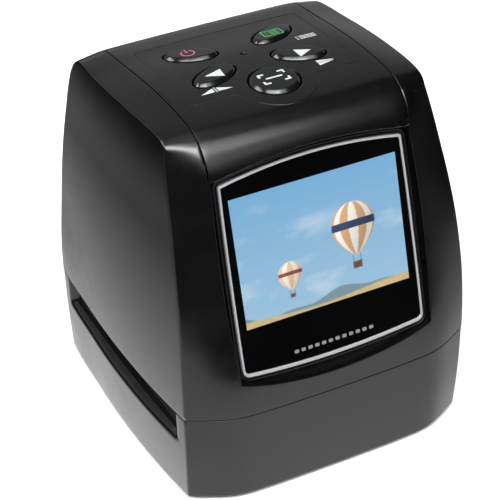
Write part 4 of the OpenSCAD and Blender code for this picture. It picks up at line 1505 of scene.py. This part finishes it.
def camera():
    az, el, roll = math.radians(-26.527), math.radians(33.518), math.radians(-1.749)
    C = np.array([-189.874, -373.869, 323.245]) * MM
    back = np.array([math.sin(az) * math.cos(el), -math.cos(az) * math.cos(el), math.sin(el)])
    fwd = -back
    right = np.cross(fwd, [0, 0, 1.0])
    right /= np.linalg.norm(right)
    up = np.cross(right, fwd)
    R = math.cos(roll) * right + math.sin(roll) * up
    U = -math.sin(roll) * right + math.cos(roll) * up
    cam = bpy.data.cameras.new("camera")
    cam.lens, cam.sensor_width, cam.clip_start, cam.clip_end = 132.575, 36.0, 0.05, 20.0
    o = bpy.data.objects.new("camera", cam)
    m = Matrix.Identity(4)
    for i in range(3):
        m[i][0], m[i][1], m[i][2], m[i][3] = R[i], U[i], back[i], C[i]
    o.matrix_world = m
    bpy.context.scene.collection.objects.link(o)
    bpy.context.scene.camera = o
    return o


def area(name, loc, target, size, energy, col=(1, 1, 1), size_y=None, gloss=True):
    l = bpy.data.lights.new(name, "AREA")
    l.energy, l.color, l.size = energy, col, size
    if size_y:
        l.shape, l.size_y = "RECTANGLE", size_y
    o = bpy.data.objects.new(name, l)
    o.location = loc
    o.visible_glossy = gloss
    d = Vector(target) - Vector(loc)
    o.rotation_euler = d.to_track_quat("-Z", "Y").to_euler()
    bpy.context.scene.collection.objects.link(o)
    return o


class Maths:
    """Small helper that chains maths nodes."""

    def __init__(self, nt):
        self.nt = nt

    def op(self, kind, *ins):
        n = self.nt.nodes.new("ShaderNodeMath")
        n.operation = kind
        for i, v in enumerate(ins):
            if isinstance(v, (int, float)):
                n.inputs[i].default_value = v
            else:
                self.nt.links.new(v, n.inputs[i])
        return n.outputs[0]

    def step(self, v, a, b, lo=0.0, hi=1.0):
        n = self.nt.nodes.new("ShaderNodeMapRange")
        n.interpolation_type = "SMOOTHSTEP"
        for k, w in (("From Min", a), ("From Max", b), ("To Min", lo), ("To Max", hi)):
            n.inputs[k].default_value = w
        self.nt.links.new(v, n.inputs["Value"])
        return n.outputs[0]

    def mix(self, f, a, b):
        return self.op("ADD", self.op("MULTIPLY", f, b), self.op("MULTIPLY", self.op("SUBTRACT", 1.0, f), a))


def studio_world(w):
    """Soft studio room: a bright table all round below, a dim back wall, a dark front and a pale ceiling."""
    w.use_nodes = True
    nt = w.node_tree
    bg = nt.nodes["Background"]
    tc = nt.nodes.new("ShaderNodeTexCoord")
    sp = nt.nodes.new("ShaderNodeSeparateXYZ")
    nt.links.new(tc.outputs["Generated"], sp.inputs[0])
    x, y, z = sp.outputs
    M = Maths(nt)
    back = M.step(y, -0.35, 0.45)
    right = M.step(x, 0.3, 0.85, 1.0, 0.67)
    zz = M.op("ADD", z, M.step(y, -0.95, -0.80, 0.055, 0.0))
    low_front = M.op("ADD", M.step(zz, -0.35, -0.19, 1.32, 0.0), M.step(z, -0.9, -0.6, 0.3, 0.0))
    low_back = M.op("ADD", M.step(z, -0.60, -0.312, 1.0, 0.0), M.step(z, -0.80, -0.52, 1.4, 0.0))
    low = M.op("MULTIPLY", M.mix(back, low_front, low_back), right)
    # the far ends of the table, seen by the right side, the left side and the back
    ends = M.op("ADD", M.op("MULTIPLY", M.step(x, 0.25, 0.5), M.step(y, -0.15, 0.15)), M.step(x, -0.96, -0.86, 1.0, 0.0))
    ends = M.op("MULTIPLY", ends, M.op("MULTIPLY", M.step(z, -0.20, 0.0, 0.95, 0.0), M.step(z, -0.60, -0.40)))
    low = M.op("ADD", low, ends)
    wall = M.op("MULTIPLY", M.step(z, -0.05, 0.03), M.step(z, 0.05, 0.55, 0.50, 0.30))
    wall = M.op("MULTIPLY", wall, M.step(y, 0.25, 0.50))
    top = M.step(z, 0.87, 0.99, 0.0, 0.9)
    glow = M.op("MULTIPLY", M.step(z, 0.2, 0.46, 0.0, 1.8), M.step(x, 0.22, 0.62, 1.0, 0.0))
    glow = M.op("MULTIPLY", glow, M.op("MULTIPLY", M.step(y, -0.6, -0.35, 1.0, 0.0), M.step(x, -0.45, -0.1)))
    s = M.op("ADD", M.op("ADD", low, wall), M.op("ADD", M.op("ADD", top, glow), 0.002))
    nt.links.new(s, bg.inputs["Strength"])
    bg.inputs["Color"].default_value = (0.985, 1.0, 0.99, 1)


def stage():
    sc = bpy.context.scene
    sc.view_settings.view_transform = "Standard"
    sc.view_settings.look = "None"
    w = bpy.data.worlds.new("studio")
    sc.world = w
    studio_world(w)
    me = bpy.data.meshes.new("floor")
    me.from_pydata([(-6, -6, 0), (6, -6, 0), (6, 6, 0), (-6, 6, 0)], [], [(0, 1, 2, 3)])
    fl = bpy.data.objects.new("floor", me)
    sc.collection.objects.link(fl)
    m, nt, b = mat_new("floor_pale")
    tc = coords(nt)
    n = noise(nt, tc, 3.0, 2.0)
    r = ramp(nt, n, "Fac", [(0.3, (0.85, 0.85, 0.845)), (0.7, (0.87, 0.87, 0.865))])
    link(nt, r, "Color", b, "Base Color")
    b.inputs["Roughness"].default_value = 0.9
    b.inputs["Specular IOR Level"].default_value = 0.2
    me.materials.append(m)
    fl.visible_glossy = False
    area("softbox_over", (0.0, 0.1, 1.6), (0, 0, 0), 1.5, 20.0, gloss=False)
    area("softbox_front", (0.10, -0.62, 1.0), (0, 0, 0.06), 0.62, 3.4, size_y=0.5)
    area("softbox_left_front", (-0.40, -0.66, 1.0), (0, 0, 0.07), 1.0, 17.5, size_y=0.42)
    area("softbox_left", (-0.92, 0.30, 0.72), (0, 0, 0.07), 0.62, 9.0, size_y=0.42)


def main():
    camera()
    make_materials()
    dress_nodes()
    ms = make_main_shell()
    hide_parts("main_shell")
    bs = make_base()
    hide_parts("base_shell")
    cv = make_cover()
    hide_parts("top_cover")
    rp = make_rear()
    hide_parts("rear_panel")
    make_vent_shade_sheet()
    bez, trim, win = make_screen()
    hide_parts("screen_bezel")
    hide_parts("screen_trim")
    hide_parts("screen_window")
    for k in range(5):
        b = make_button(k)
        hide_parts(KEY_NAMES[k] + "_button")
    for o in make_signs():
        "button" if "cover" not in o.name and "screen" not in o.name else "casing"
    stage()


main()
